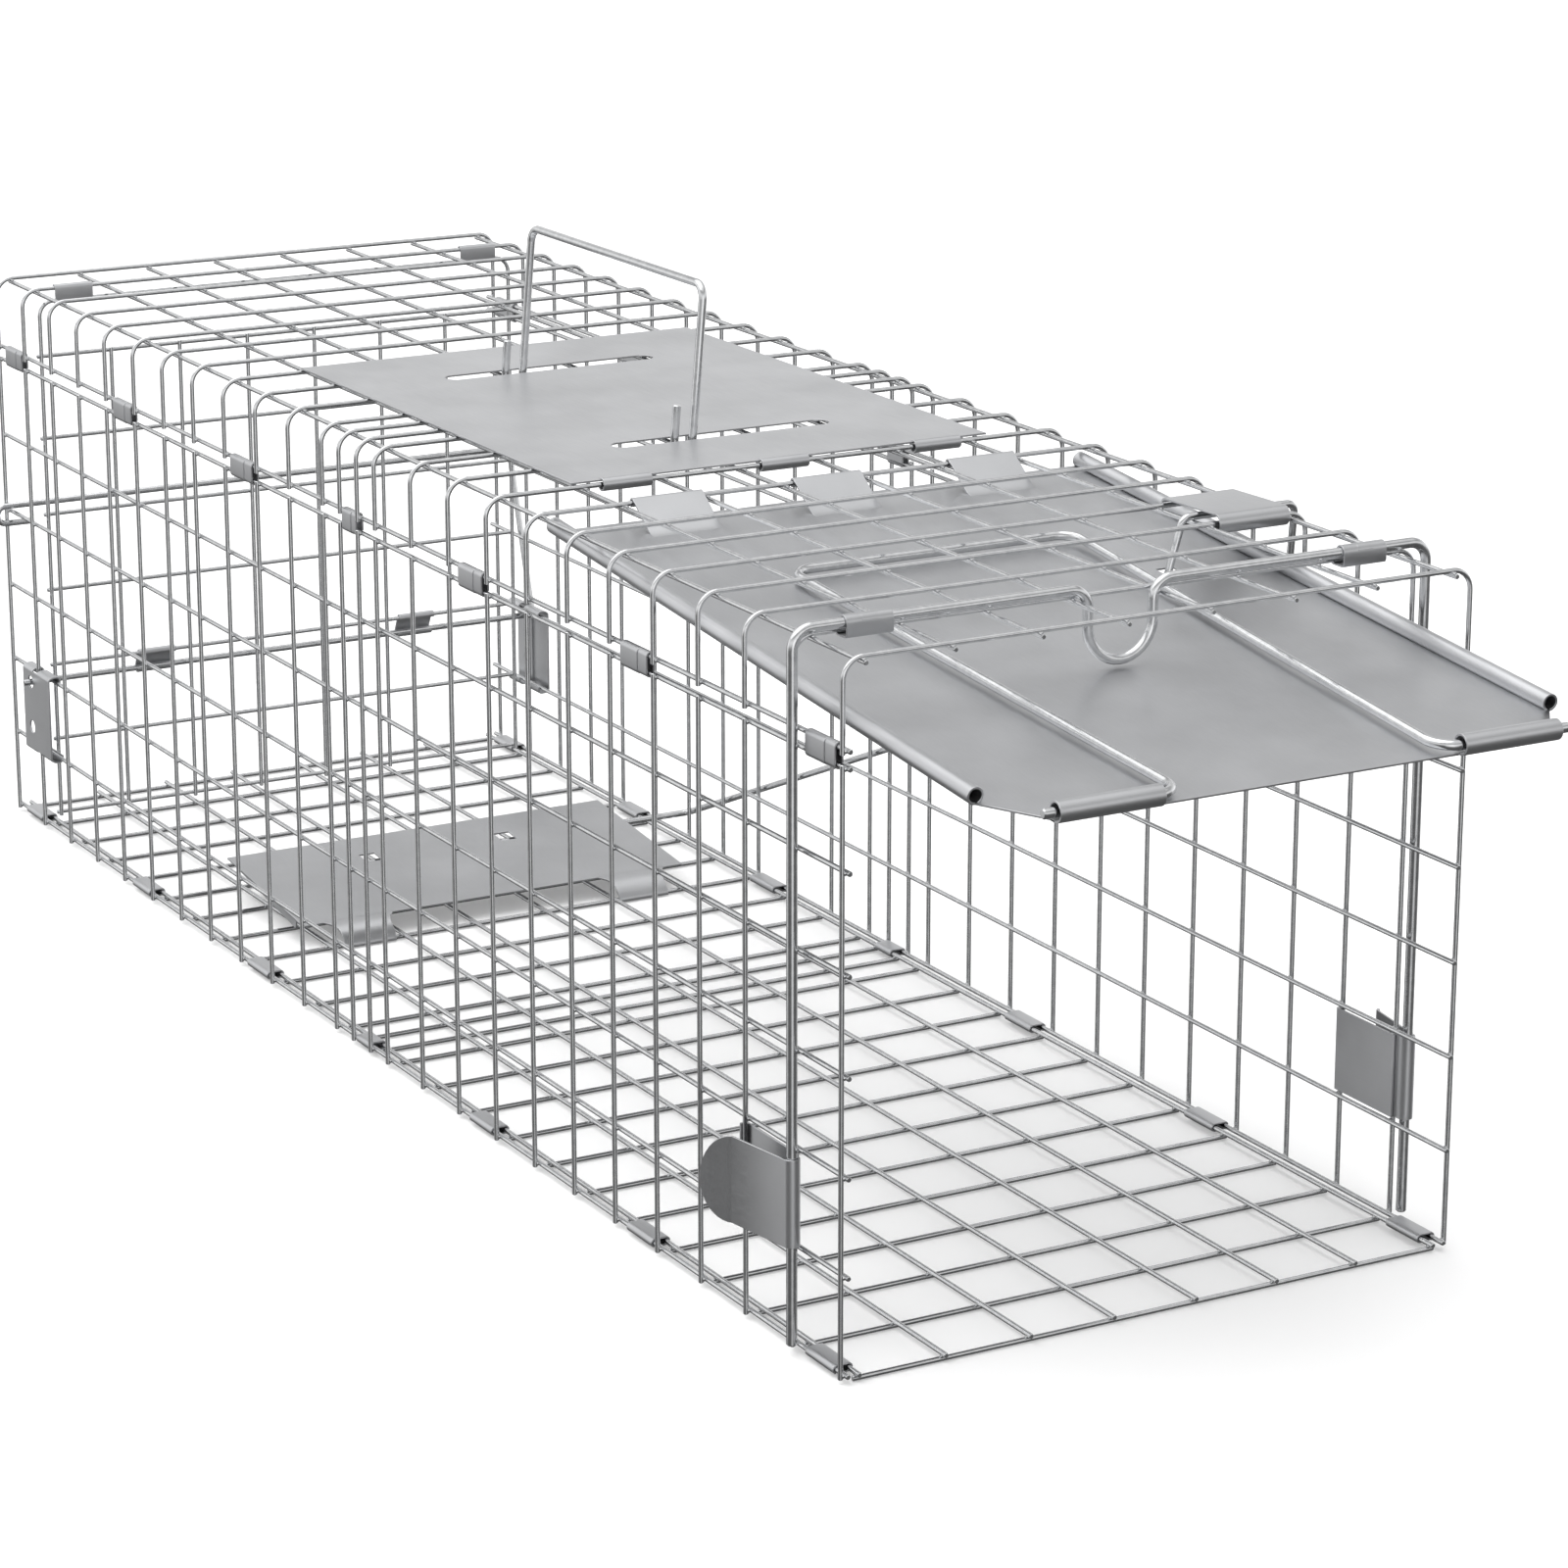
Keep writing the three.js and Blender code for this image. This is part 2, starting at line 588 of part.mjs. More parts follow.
// Drawn about its hinge wire, reaching towards -Y.
function doorPlate() {
  const tubeZ = PLATE_Z + TUBE_RADIUS;
  const outline = new THREE.Shape(
    [
      [-ROLL_X, DOOR_REAR_LIP],
      [-ROLL_X, -DOOR_SIDE_END],
      [-TUBE_OUTER_X, -CHAMFER_END],
      [-TUBE_OUTER_X, -DOOR_LENGTH],
      [TUBE_OUTER_X, -DOOR_LENGTH],
      [TUBE_OUTER_X, -CHAMFER_END],
      [ROLL_X, -DOOR_SIDE_END],
      [ROLL_X, DOOR_REAR_LIP],
    ].map(([x, y]) => at2(x, y)),
  );
  outline.holes.push(catchHole());
  const plate = extrude(outline, SHEET).translate(0, 0, PLATE_Z - SHEET / 2);
  const tubeRun = [
    at2(-DOOR_LENGTH + 1, PLATE_Z),
    ...arcRun(at2(-DOOR_LENGTH, tubeZ), TUBE_RADIUS, -Math.PI / 2, (-13 * Math.PI) / 6),
  ];
  const tubeWidth = TUBE_OUTER_X - TUBE_INNER_X;
  const tubeX = (TUBE_OUTER_X + TUBE_INNER_X) / 2;
  const tubes = [-1, 1].map((side) =>
    alongX(extrude(stripShape(tubeRun), tubeWidth), side * tubeX, tubeWidth),
  );
  const rollLength = DOOR_SIDE_END + DOOR_REAR_LIP;
  const rolls = [-1, 1].map((side) => {
    const run = arcRun(at2(-ROLL_X, PLATE_Z + ROLL_RADIUS), ROLL_RADIUS, -Math.PI / 2, ROLL_END);
    const roll = alongY(extrude(stripShape(run), rollLength), 0, rollLength);
    return (side < 0 ? roll.rotateZ(Math.PI) : roll).translate(0, DOOR_REAR_LIP - rollLength / 2, 0);
  });
  const wrap = clipRadius(MESH_WIRE, WIRE_SIDES);
  const knuckleRun = [
    at2(-wrap - 7, PLATE_Z),
    at2(-wrap - 3, PLATE_Z + SHEET),
    ...arcRun(at2(0, 0), wrap, Math.PI, -Math.PI / 3),
  ];
  const knuckles = KNUCKLE_X.map((x) =>
    alongX(extrude(stripShape(knuckleRun), DOOR_KNUCKLE), x, DOOR_KNUCKLE),
  );
  return join([plate, ...tubes, ...rolls, ...knuckles]);
}

// A U of wire that pivots in the two front tubes and lies back along the door.
function lockBail() {
  const pinX = TUBE_OUTER_X + BAIL_PIN_TAIL;
  const corners = [
    vec(-pinX, 0, 0),
    vec(-BAIL_FRONT_X, 0, 0),
    vec(-BAIL_REAR_X, BAIL_LENGTH, 0),
    vec(BAIL_REAR_X, BAIL_LENGTH, 0),
    vec(BAIL_FRONT_X, 0, 0),
    vec(pinX, 0, 0),
  ];
  return rod(bend(corners, FRAME_BEND, 3), BAIL_WIRE);
}

function addDoor() {
  const hinge = new THREE.Group();
  hinge.position.set(0, DOOR_Y, ROOF_Z);
  hinge.rotation.x = DOOR_SET_TILT;
  group.add(hinge);
  addMesh(hinge, "drop_door", doorPlate(), PLATE);
  const bail = addMesh(hinge, "lock_bail", lockBail(), WIRE);
  bail.position.set(0, -DOOR_LENGTH, PLATE_Z + TUBE_RADIUS);
}

// Hand guard and handle ------------------------------------------------------------------------

function guardPlate() {
  const [front, rear] = [station(GUARD_CELL), station(GUARD_END_CELL)];
  const half = GUARD_WIDTH / 2;
  const outline = new THREE.Shape(
    [[-half, front], [half, front], [half, rear], [-half, rear]].map(([x, y]) => at2(x, y)),
  );
  const slotEnd = SLOT_LENGTH / 2 - SLOT_WIDTH / 2;
  for (const cells of HANDLE_CELLS) {
    const y = station(cells);
    const slot = new THREE.Path();
    slot.absarc(slotEnd, y, SLOT_WIDTH / 2, -Math.PI / 2, Math.PI / 2);
    slot.absarc(-slotEnd, y, SLOT_WIDTH / 2, Math.PI / 2, (3 * Math.PI) / 2);
    outline.holes.push(slot);
  }
  const options = { depth: SHEET, bevelEnabled: false, curveSegments: 6 };
  const plate = new THREE.ExtrudeGeometry(outline, options).translate(0, 0, GUARD_Z - SHEET / 2);
  const rise = GUARD_Z - ROOF_Z;
  const wrap = clipRadius(MESH_WIRE, WIRE_SIDES);
  const run = [
    at2(1, rise),
    at2(-wrap / 2, rise),
    ...arcRun(at2(0, 0), wrap, (5 * Math.PI) / 6, (11 * Math.PI) / 6),
  ];
  const knuckles = KNUCKLE_X.map((x) =>
    alongX(extrude(stripShape(run), GUARD_KNUCKLE), x, GUARD_KNUCKLE).translate(0, front, ROOF_Z),
  );
  return join([plate, ...knuckles]);
}

// A bail whose two ends hook under one roof row and rise again as stubs beside it.
function carryHandle() {
  const [y0, y1] = HANDLE_CELLS.map((cells) => station(cells) - station(HANDLE_CELLS[0]));
  const hook = (y) =>
    Array.from({ length: 5 }, (_, i) => {
      const angle = Math.PI + (Math.PI * i) / 4;
      return vec(HANDLE_HOOK * Math.cos(angle), y, HANDLE_HOOK * Math.sin(angle));
    });
  const top = bend(
    [
      vec(HANDLE_HOOK, y0, 0),
      vec(HANDLE_HOOK, y0, HANDLE_HEIGHT),
      vec(HANDLE_HOOK, y1, HANDLE_HEIGHT),
      vec(HANDLE_HOOK, y1, 0),
    ],
    HANDLE_BEND,
    3,
  ).slice(1, -1);
  const stub = (y) => vec(-HANDLE_HOOK, y, HANDLE_PIN);
  return rod([stub(y0), ...hook(y0), ...top, ...hook(y1).reverse(), stub(y1)], HANDLE_WIRE);
}

function addHandle() {
  addMesh(group, "guard_plate", guardPlate(), PLATE);
  const handle = addMesh(group, "carry_handle", carryHandle(), WIRE);
  handle.position.set(roofRowX(HANDLE_ROW), station(HANDLE_CELLS[0]), ROOF_ROW_Z);
  handle.rotation.y = HANDLE_LEAN;
}

// Pedal and trigger ----------------------------------------------------------------------------

// Drawn about the floor wire it turns on, before its tilt; Y runs back along the plate.
function pedalPlate() {
  const half = PEDAL_WIDTH / 2;
  const wallY = CROSSBAR_Y - 2 * TRIGGER_WIRE - SHEET;
  const tongueEnd = CROSSBAR_Y + TRIGGER_WIRE;
  const lowerZ = CROSSBAR_Z - CROSSBAR_Y * Math.sin(PEDAL_TILT) - TRIGGER_WIRE - 2 * GAP;
  const plate = box(
    [-half, PEDAL_FRONT, PEDAL_LIFT - SHEET / 2],
    [half, PEDAL_REAR, PEDAL_LIFT + SHEET / 2],
  );
  const windows = [-1, 1].map((side) =>
    box(
      [side * TONGUE_X - TONGUE_WIDTH / 2, wallY + SHEET / 2, PEDAL_LIFT - SHEET],
      [side * TONGUE_X + TONGUE_WIDTH / 2, tongueEnd, PEDAL_LIFT + SHEET],
    ),
  );
  const curlWidth = CURL_OUTER_X - CURL_INNER_X;
  const curlRun = stripShape([
    at2(PEDAL_FRONT + SHEET, PEDAL_LIFT),
    at2(PEDAL_FRONT - 6, PEDAL_LIFT - 0.3),
    at2(1.5, PEDAL_LIFT - 1.6),
    at2(-1.5, PEDAL_LIFT - 3.6),
    at2(-2.6, 1.2),
    at2(-2.2, 0.1),
  ]);
  const curls = [-1, 1].map((side) =>
    alongX(extrude(curlRun, curlWidth), (side * (CURL_OUTER_X + CURL_INNER_X)) / 2, curlWidth),
  );
  const flange = (rear) =>
    new THREE.Shape([
      at2(rear, PEDAL_LIFT + SHEET / 4),
      at2(FLANGE_FRONT, PEDAL_LIFT + SHEET / 4),
      at2(FLANGE_FRONT, PEDAL_LIFT - FLANGE_DEPTH),
    ]);
  const flanges = [
    alongX(extrude(flange(PEDAL_REAR - SHEET), SHEET), -half + SHEET / 2, SHEET),
    alongX(extrude(flange(wallY - 2), SHEET), half - SHEET / 2, SHEET),
  ];
  const tongueRun = stripShape([
    at2(wallY, PEDAL_LIFT + SHEET / 4),
    at2(wallY, lowerZ),
    at2(tongueEnd, lowerZ),
  ]);
  const tongues = [-1, 1].map((side) =>
    alongX(extrude(tongueRun, TONGUE_WIDTH), side * TONGUE_X, TONGUE_WIDTH),
  );
  return join([cut(plate, windows), ...curls, ...flanges, ...tongues]);
}

// One bent wire: a cross bar under the pedal, out through the right wall, up along it, over the
// roof, and down as the hook that holds the set door. It turns about its length over the roof.
function triggerRod() {
  const barY = PEDAL_Y + CROSSBAR_Y;
  const barZ = FLOOR_Z + CROSSBAR_Z;
  const corners = [
    vec(CROSSBAR_END_X, barY, barZ),
    vec(TRIGGER_X, barY, barZ),
    vec(TRIGGER_X, TRIGGER_Y + TRIGGER_KNEE_SHIFT, TRIGGER_Z - TRIGGER_KNEE_DROP),
    vec(TRIGGER_X, TRIGGER_Y, TRIGGER_Z),
    vec(HOOK_TOP_X, TRIGGER_Y, TRIGGER_Z),
    vec(HOOK_TIP_X, TRIGGER_Y, TRIGGER_Z - HOOK_DROP),
  ];
  return rod(bend(corners, 4, 2), TRIGGER_WIRE);
}

function rodCover() {
  const [front, rear] = [station(3), station(4)];
  const radius = (COVER_RISE + SHEET / 2) / Math.cos(CLIP_ARC / 2);
  const [nose, tail] = [at2(front, 0), at2(rear, 0)];
  const shape = foldedClip(nose, tail, radius, radius, Math.PI, Math.PI / 3);
  return alongX(extrude(shape, COVER_LENGTH), 0, COVER_LENGTH);
}

function addTrigger() {
  const pedal = addMesh(group, "pedal", pedalPlate(), PLATE);
  pedal.position.set(0, PEDAL_Y, FLOOR_Z);
  pedal.rotation.x = PEDAL_TILT;
  addMesh(group, "trigger_rod", triggerRod(), WIRE);
  const cover = addMesh(group, "rod_cover", rodCover(), PLATE);
  cover.position.set(betweenRoofRows(6), 0, ROOF_Z);
}

// Rear gate hardware ---------------------------------------------------------------------------

// A sheet over the outside of the wall, folded round the second and third rows, with two pin holes.
function rearBracket(side) {
  const [low, high] = [sideRowZ(1), sideRowZ(2)];
  const rowX = HALF_WIDTH - WELD_LIFT;
  const wrap = clipRadius(MESH_WIRE, WIRE_SIDES);
  const lipX = rowX - wrap;
  const run = [
    at2(-lipX, low + 1),
    at2(-lipX, low - wrap),
    at2(-BRACKET_X, low - wrap),
    at2(-BRACKET_X, high + wrap),
    at2(-lipX, high + wrap),
    at2(-lipX, high - 1),
  ];
  const length = REAR_BRACKET_BACK - REAR_BRACKET_FRONT;
  const middle = (REAR_BRACKET_BACK + REAR_BRACKET_FRONT) / 2;
  const sheet = alongY(extrude(stripShape(run), length), GATE_Y + middle, length);
  const notches = [low, high].map((z) =>
    box(
      [lipX - 2, GATE_Y - BRACKET_NOTCH / 2, z - 4],
      [BRACKET_X - SHEET / 2, GATE_Y + BRACKET_NOTCH / 2, z + 4],
    ),
  );
  const holes = [0, HOLE_PITCH].map((drop) => {
    const hole = new THREE.CylinderGeometry(BRACKET_HOLE / 2, BRACKET_HOLE / 2, 4, 12);
    return hole.rotateZ(Math.PI / 2).translate(BRACKET_X, PIN_Y, PIN_Z - drop);
  });
  const bracket = cut(sheet, [...notches, ...holes]);
  return side > 0 ? bracket : mirrorX(bracket);
}

// A spring pin: the shaft runs through both brackets, the arm rises outside the right wall, and
// the cross bar lies on two side rows and is turned round the left one.
function lockPin() {
  const barY = PIN_Y + PIN_ARM_REACH;
  const rowTop = sideRowZ(4) + WIRE_APEX;
  const barZ = rowTop + GAP + apex(PIN_WIRE, ROD_SIDES);
  const turnX = -HALF_WIDTH - 2 * PIN_TURN;
  const corners = bend(
    [
      vec(-BRACKET_X - SHEET - PIN_TAIL, PIN_Y, PIN_Z),
      vec(PIN_X, PIN_Y, PIN_Z),
      vec(PIN_X, barY, barZ),
      vec(turnX + PIN_TURN, barY, barZ),
    ],
    PIN_BEND,
    3,
  );
  const turn = Array.from({ length: 4 }, (_, i) => {
    const angle = Math.PI / 2 + (Math.PI * (i + 1)) / 4;
    const x = turnX + PIN_TURN + PIN_TURN * Math.cos(angle);
    return vec(x, barY, barZ - PIN_TURN + PIN_TURN * Math.sin(angle));
  });
  const end = vec(turnX + PIN_TURN + PIN_RETURN, barY, barZ - 2 * PIN_TURN);
  return rod([...corners, ...turn, end], PIN_WIRE);
}

function addRearHardware() {
  const wireRadius = clipRadius(MESH_WIRE, WIRE_SIDES);
  const pinRadius = clipRadius(PIN_WIRE, ROD_SIDES);
  addMesh(group, "lock_pin", lockPin(), WIRE);
  for (const side of [-1, 1]) {
    const name = side < 0 ? "left" : "right";
    const hangShape = foldedClip(at2(0, -GATE_DROP), at2(0, 0), wireRadius, wireRadius);
    const hang = alongX(extrude(hangShape, SMALL_CLIP), 0, SMALL_CLIP);
    const gateClip = addMesh(group, `gate_clip_${name}`, hang, PLATE);
    gateClip.position.set(side * betweenRoofRows(6), GATE_Y, ROOF_Z);
    const pinShape = foldedClip(
      at2(MESH_WIRE - PIN_REACH, PIN_DROP),
      at2(0, 0),
      wireRadius,
      pinRadius,
    );
    const hold = alongX(extrude(pinShape, SMALL_CLIP), 0, SMALL_CLIP);
    const pinClip = addMesh(group, `pin_clip_${name}`, hold, PLATE);
    pinClip.position.set(side * PIN_CLIP_X, PIN_Y, PIN_Z);
    addMesh(group, `rear_bracket_${name}`, rearBracket(side), PLATE);
  }
}

addCage();
addSeamClips();
addFrontFrame();
addDoor();
addHandle();
addTrigger();
addRearHardware();

const bounds = new THREE.Box3().setFromObject(group, true);
group.position.y = -bounds.getCenter(vec(0, 0, 0)).y;

export default group;
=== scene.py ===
"""Live catch trap: a welded wire cage with a drop door set open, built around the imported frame.

Lengths are in millimetres in the cage's own frame, X across, Z up, and Y back from the front
wire. piece() turns them into metres in the row frame.
"""

import math

import bmesh
import bpy
from mathutils import Matrix, Vector


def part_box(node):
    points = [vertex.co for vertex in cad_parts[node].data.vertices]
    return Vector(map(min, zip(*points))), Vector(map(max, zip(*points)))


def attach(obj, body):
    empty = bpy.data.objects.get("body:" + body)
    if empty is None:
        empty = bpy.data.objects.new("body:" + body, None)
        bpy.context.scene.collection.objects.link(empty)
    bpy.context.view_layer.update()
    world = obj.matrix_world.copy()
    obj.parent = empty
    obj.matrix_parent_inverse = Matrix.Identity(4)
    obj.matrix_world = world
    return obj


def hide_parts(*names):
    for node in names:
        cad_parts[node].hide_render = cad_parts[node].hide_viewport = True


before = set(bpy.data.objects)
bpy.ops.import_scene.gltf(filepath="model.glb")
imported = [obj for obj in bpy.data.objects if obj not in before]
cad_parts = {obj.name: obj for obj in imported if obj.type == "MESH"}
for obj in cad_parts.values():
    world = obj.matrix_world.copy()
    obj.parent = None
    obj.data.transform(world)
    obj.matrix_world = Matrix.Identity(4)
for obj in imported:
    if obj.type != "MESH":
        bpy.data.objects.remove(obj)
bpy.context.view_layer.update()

MM = 0.001

# Stock
WIRE_RADIUS = 1.0
ROD_RADIUS = 2.0
BAIL_RADIUS = 1.9
HANDLE_RADIUS = 1.75
PIN_RADIUS = 1.5
SHEET = 0.8
CLIP_SHEET = 0.7
SNUG = 0.12
SHEET_EDGE = 0.12
SHARP_ANGLE = math.radians(38)
EASED_ANGLE = math.radians(50)

# Cage
WIRE_TAIL = 3
WELD_STUB = 1.5
ROW_START_Y = -2.6
BOTTOM_ROW_Z = 3
CELL = 34.6
ROW_PITCH = 37.28
HALF_WIDTH = 130.2
WELD_SINK = 0.12
FLOOR_Z = 1.0
ROW_Z = FLOOR_Z + 2 * WIRE_RADIUS - WELD_SINK
SIDE_ROWS = 7
SIDE_TOP_Z = BOTTOM_ROW_Z + (SIDE_ROWS - 1) * ROW_PITCH
SEAM_STEP = 6.3
FLANGE_Z = SIDE_TOP_Z + SEAM_STEP
ROOF_Z = SIDE_TOP_Z + 38.9
ROOF_ROW_Z = ROOF_Z - 2 * WIRE_RADIUS + WELD_SINK
UPRIGHT_X = HALF_WIDTH + 2 * WIRE_RADIUS - WELD_SINK
ROOF_EDGE_X = 124.2
FLOOR_EDGE_X = 125.5
STATIONS = [i * CELL for i in [*range(12), 11.5, 12, *(12.5 + k for k in range(12))]]
ROW_END_Y = 23.5 * CELL + WIRE_TAIL - 0.4
LONG_ROWS = 8
KNUCKLE_X = (-71, 0, 71)

front_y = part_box("side_panel_left")[0].y / MM + WIRE_TAIL
CAGE = Matrix.Translation((0, front_y, 0))


# Shapes ---------------------------------------------------------------------------------------


def spread(count, half):
    return [-half + 2 * half * i / (count - 1) for i in range(count)]


def bend(corners, radius, steps=8):
    """A run of points with its inner corners rounded."""
    points = [Vector(corners[0])]
    for before, here, after in zip(corners, corners[1:], corners[2:]):
        here = Vector(here)
        back = (Vector(before) - here).normalized()
        ahead = (Vector(after) - here).normalized()
        half = back.angle(ahead) / 2
        centre = here + (back + ahead).normalized() * radius / math.sin(half)
        start = here + back * radius / math.tan(half) - centre
        axis = back.cross(ahead)
        for step in range(steps + 1):
            turn = Matrix.Rotation(-(math.pi - 2 * half) * step / steps, 3, axis)
            points.append(centre + turn @ start)
    points.append(Vector(corners[-1]))
    return points


def arc(centre, radius, start, end, step=15):
    """Points on an arc in a plane, with its angles in degrees."""
    count = max(1, round(abs(end - start) / step))
    angles = [math.radians(start + (end - start) * i / count) for i in range(count + 1)]
    u, v = centre
    return [(u + radius * math.cos(a), v + radius * math.sin(a)) for a in angles]


def rectangle(x0, x1, y0, y1):
    return [(x0, y0), (x1, y0), (x1, y1), (x0, y1)]


def tube(points, radius, sides=12, round_end=0.25):
    """A round wire along points, its cut ends slightly eased."""
    points = [Vector(p) for p in points]
    ahead = [(b - a).normalized() for a, b in zip(points, points[1:])]
    along = [ahead[0], *((a + b).normalized() for a, b in zip(ahead, ahead[1:])), ahead[-1]]
    rings = [(points[0], along[0], radius - round_end)]
    rings.append((points[0] + along[0] * round_end, along[0], radius))
    rings += [(p, t, radius) for p, t in zip(points[1:-1], along[1:-1])]
    rings.append((points[-1] - along[-1] * round_end, along[-1], radius))
    rings.append((points[-1], along[-1], radius - round_end))
    verts, faces = [], []
    normal = along[0].orthogonal().normalized()
    heading = along[0]
    for centre, direction, reach in rings:
        normal = heading.rotation_difference(direction) @ normal
        heading = direction
        side = direction.cross(normal)
        for i in range(sides):
            angle = 2 * math.pi * i / sides
            verts.append(centre + reach * (math.cos(angle) * normal + math.sin(angle) * side))
    for ring in range(len(rings) - 1):
        for i in range(sides):
            a, b = ring * sides + i, ring * sides + (i + 1) % sides
            faces.append((a, b, b + sides, a + sides))
    last = (len(rings) - 1) * sides
    faces.append(tuple(reversed(range(sides))))
    faces.append(tuple(range(last, last + sides)))
    return verts, faces


def weld(centre, radius=1.2, sides=8, rings=5):
    """The small bead where two wires are welded."""
    verts, faces = [Vector(centre) + Vector((0, 0, radius))], []
    for ring in range(1, rings):
        tilt = math.pi * ring / rings
        for i in range(sides):
            turn = 2 * math.pi * i / sides
            across = math.sin(tilt)
            offset = (across * math.cos(turn), across * math.sin(turn), math.cos(tilt))
            verts.append(Vector(centre) + radius * Vector(offset))
    verts.append(Vector(centre) - Vector((0, 0, radius)))
    end = len(verts) - 1
    for i in range(sides):
        j = (i + 1) % sides
        faces.append((0, 1 + i, 1 + j))
        faces.append((end, end - sides + j, end - sides + i))
        for ring in range(rings - 2):
            a, b = 1 + ring * sides + i, 1 + ring * sides + j
            faces.append((a, a + sides, b + sides, b))
    return verts, faces


AXES = {
    "X": lambda u, v, w: (w, u, v),
    "Y": lambda u, v, w: (u, w, v),
    "Z": lambda u, v, w: (u, v, w),
}


def strip(run, axis, low, high, thickness=SHEET):
    """Sheet folded along a run of points and carried along an axis from low to high.

    low and high are numbers, or one number for each point of the run.
    """
    run = [Vector(p) for p in run]
    place = AXES[axis]
    count = len(run)
    lows = low if isinstance(low, list) else [low] * count
    highs = high if isinstance(high, list) else [high] * count
    sides = []
    for sign in (0.5, -0.5):
        line = []
        for i, here in enumerate(run):
            into = (here - run[i - 1]).normalized() if i else (run[1] - here).normalized()
            out = (run[i + 1] - here).normalized() if i < count - 1 else into
            along = (into + out).normalized()
            widen = max(along.dot(out), 0.5)
            line.append(here + Vector((-along.y, along.x)) * sign * thickness / widen)
        sides.append(line)
    verts, faces = [], []
    for line, ends in ((sides[0], lows), (sides[0], highs), (sides[1], highs), (sides[1], lows)):
        verts += [Vector(place(p.x, p.y, w)) for p, w in zip(line, ends)]
    rails = [k * count for k in range(4)]
    for a, b in zip(rails, rails[1:] + rails[:1]):
        faces += [(a + i, a + i + 1, b + i + 1, b + i) for i in range(count - 1)]
    faces.append(tuple(reversed(rails)))
    faces.append(tuple(r + count - 1 for r in rails))
    return verts, faces


def plate(loops, low, high, axis="Z"):
    """Flat sheet between two heights, cut to the first loop and holed by the others."""
    bm = bmesh.new()
    place = AXES[axis]
    edges = []
    for loop in loops:
        verts = [bm.verts.new(place(u, v, low)) for u, v in loop]
        edges += [bm.edges.new(pair) for pair in zip(verts, verts[1:] + verts[:1])]
    bmesh.ops.triangle_fill(bm, use_beauty=True, edges=edges)
    raised = bmesh.ops.extrude_face_region(bm, geom=bm.faces[:])["geom"]
    top = [v for v in raised if isinstance(v, bmesh.types.BMVert)]
    bmesh.ops.translate(bm, vec=place(0, 0, high - low), verts=top)
    bmesh.ops.recalc_face_normals(bm, faces=bm.faces[:])
    bm.verts.index_update()
    made = [v.co.copy() for v in bm.verts], [tuple(v.index for v in f.verts) for f in bm.faces]
    bm.free()
    return made


def moved(part, matrix):
    verts, faces = part
    return [matrix @ Vector(v) for v in verts], faces


def mirrored(part):
    verts, faces = part
    return [Vector((-v[0], v[1], v[2])) for v in verts], [tuple(reversed(f)) for f in faces]


def piece(name, parts, finish, nodes, body="cage", edge=0.0, place=CAGE):
    """Joins parts into one object that rides on a body and stands for its nodes.

    edge is how far its sharp edges are eased, in millimetres.
    """
    verts, faces = [], []
    for part_verts, part_faces in parts:
        start = len(verts)
        verts += [(place @ Vector(v)) * MM for v in part_verts]
        faces += [tuple(start + i for i in face) for face in part_faces]
    mesh = bpy.data.meshes.new(name)
    mesh.from_pydata(verts, [], faces)
    bm = bmesh.new()
    bm.from_mesh(mesh)
    bmesh.ops.recalc_face_normals(bm, faces=bm.faces[:])
    bm.to_mesh(mesh)
    bm.free()
    mesh.materials.append(finish)
    mesh.shade_smooth()
    mesh.set_sharp_from_angle(angle=SHARP_ANGLE)
    made = bpy.data.objects.new(name, mesh)
    bpy.context.scene.collection.objects.link(made)
    if edge:
        soften = made.modifiers.new("eased_edges", "BEVEL")
        soften.width = edge * MM
        soften.segments = 2
        soften.limit_method = "ANGLE"
        soften.angle_limit = EASED_ANGLE
    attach(made, body)
    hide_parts(*nodes)


# Finishes -------------------------------------------------------------------------------------


def linear(hex_colour):
    """Linear colour of an sRGB hex value."""
    channels = [int(hex_colour[i : i + 2], 16) / 255 for i in (1, 3, 5)]
    return (*(c / 12.92 if c <= 0.04045 else ((c + 0.055) / 1.055) ** 2.4 for c in channels), 1)


def add(tree, kind, inputs=None, **settings):
    """Adds a node, sets it up and links what feeds it."""
    made = tree.nodes.new(kind)
    for key, value in settings.items():
        setattr(made, key, value)
    for key, value in (inputs or {}).items():
        if isinstance(value, bpy.types.NodeSocket):
            tree.links.new(value, made.inputs[key])
        else:
            made.inputs[key].default_value = value
    return made


def new_finish(name):
    finish = bpy.data.materials.new(name)
    finish.use_nodes = True
    finish.node_tree.nodes.clear()
    return finish, finish.node_tree


def ramp(tree, factor, stops):
    made = add(tree, "ShaderNodeValToRGB", {"Fac": factor})
    elements = made.color_ramp.elements
    for element, (position, colour) in zip(elements, (stops[0], stops[-1])):
        element.position, element.color = position, colour
    for position, colour in stops[1:-1]:
        elements.new(position).color = colour
    return made.outputs["Color"]


def grey(value):
    return (value, value, value, 1)


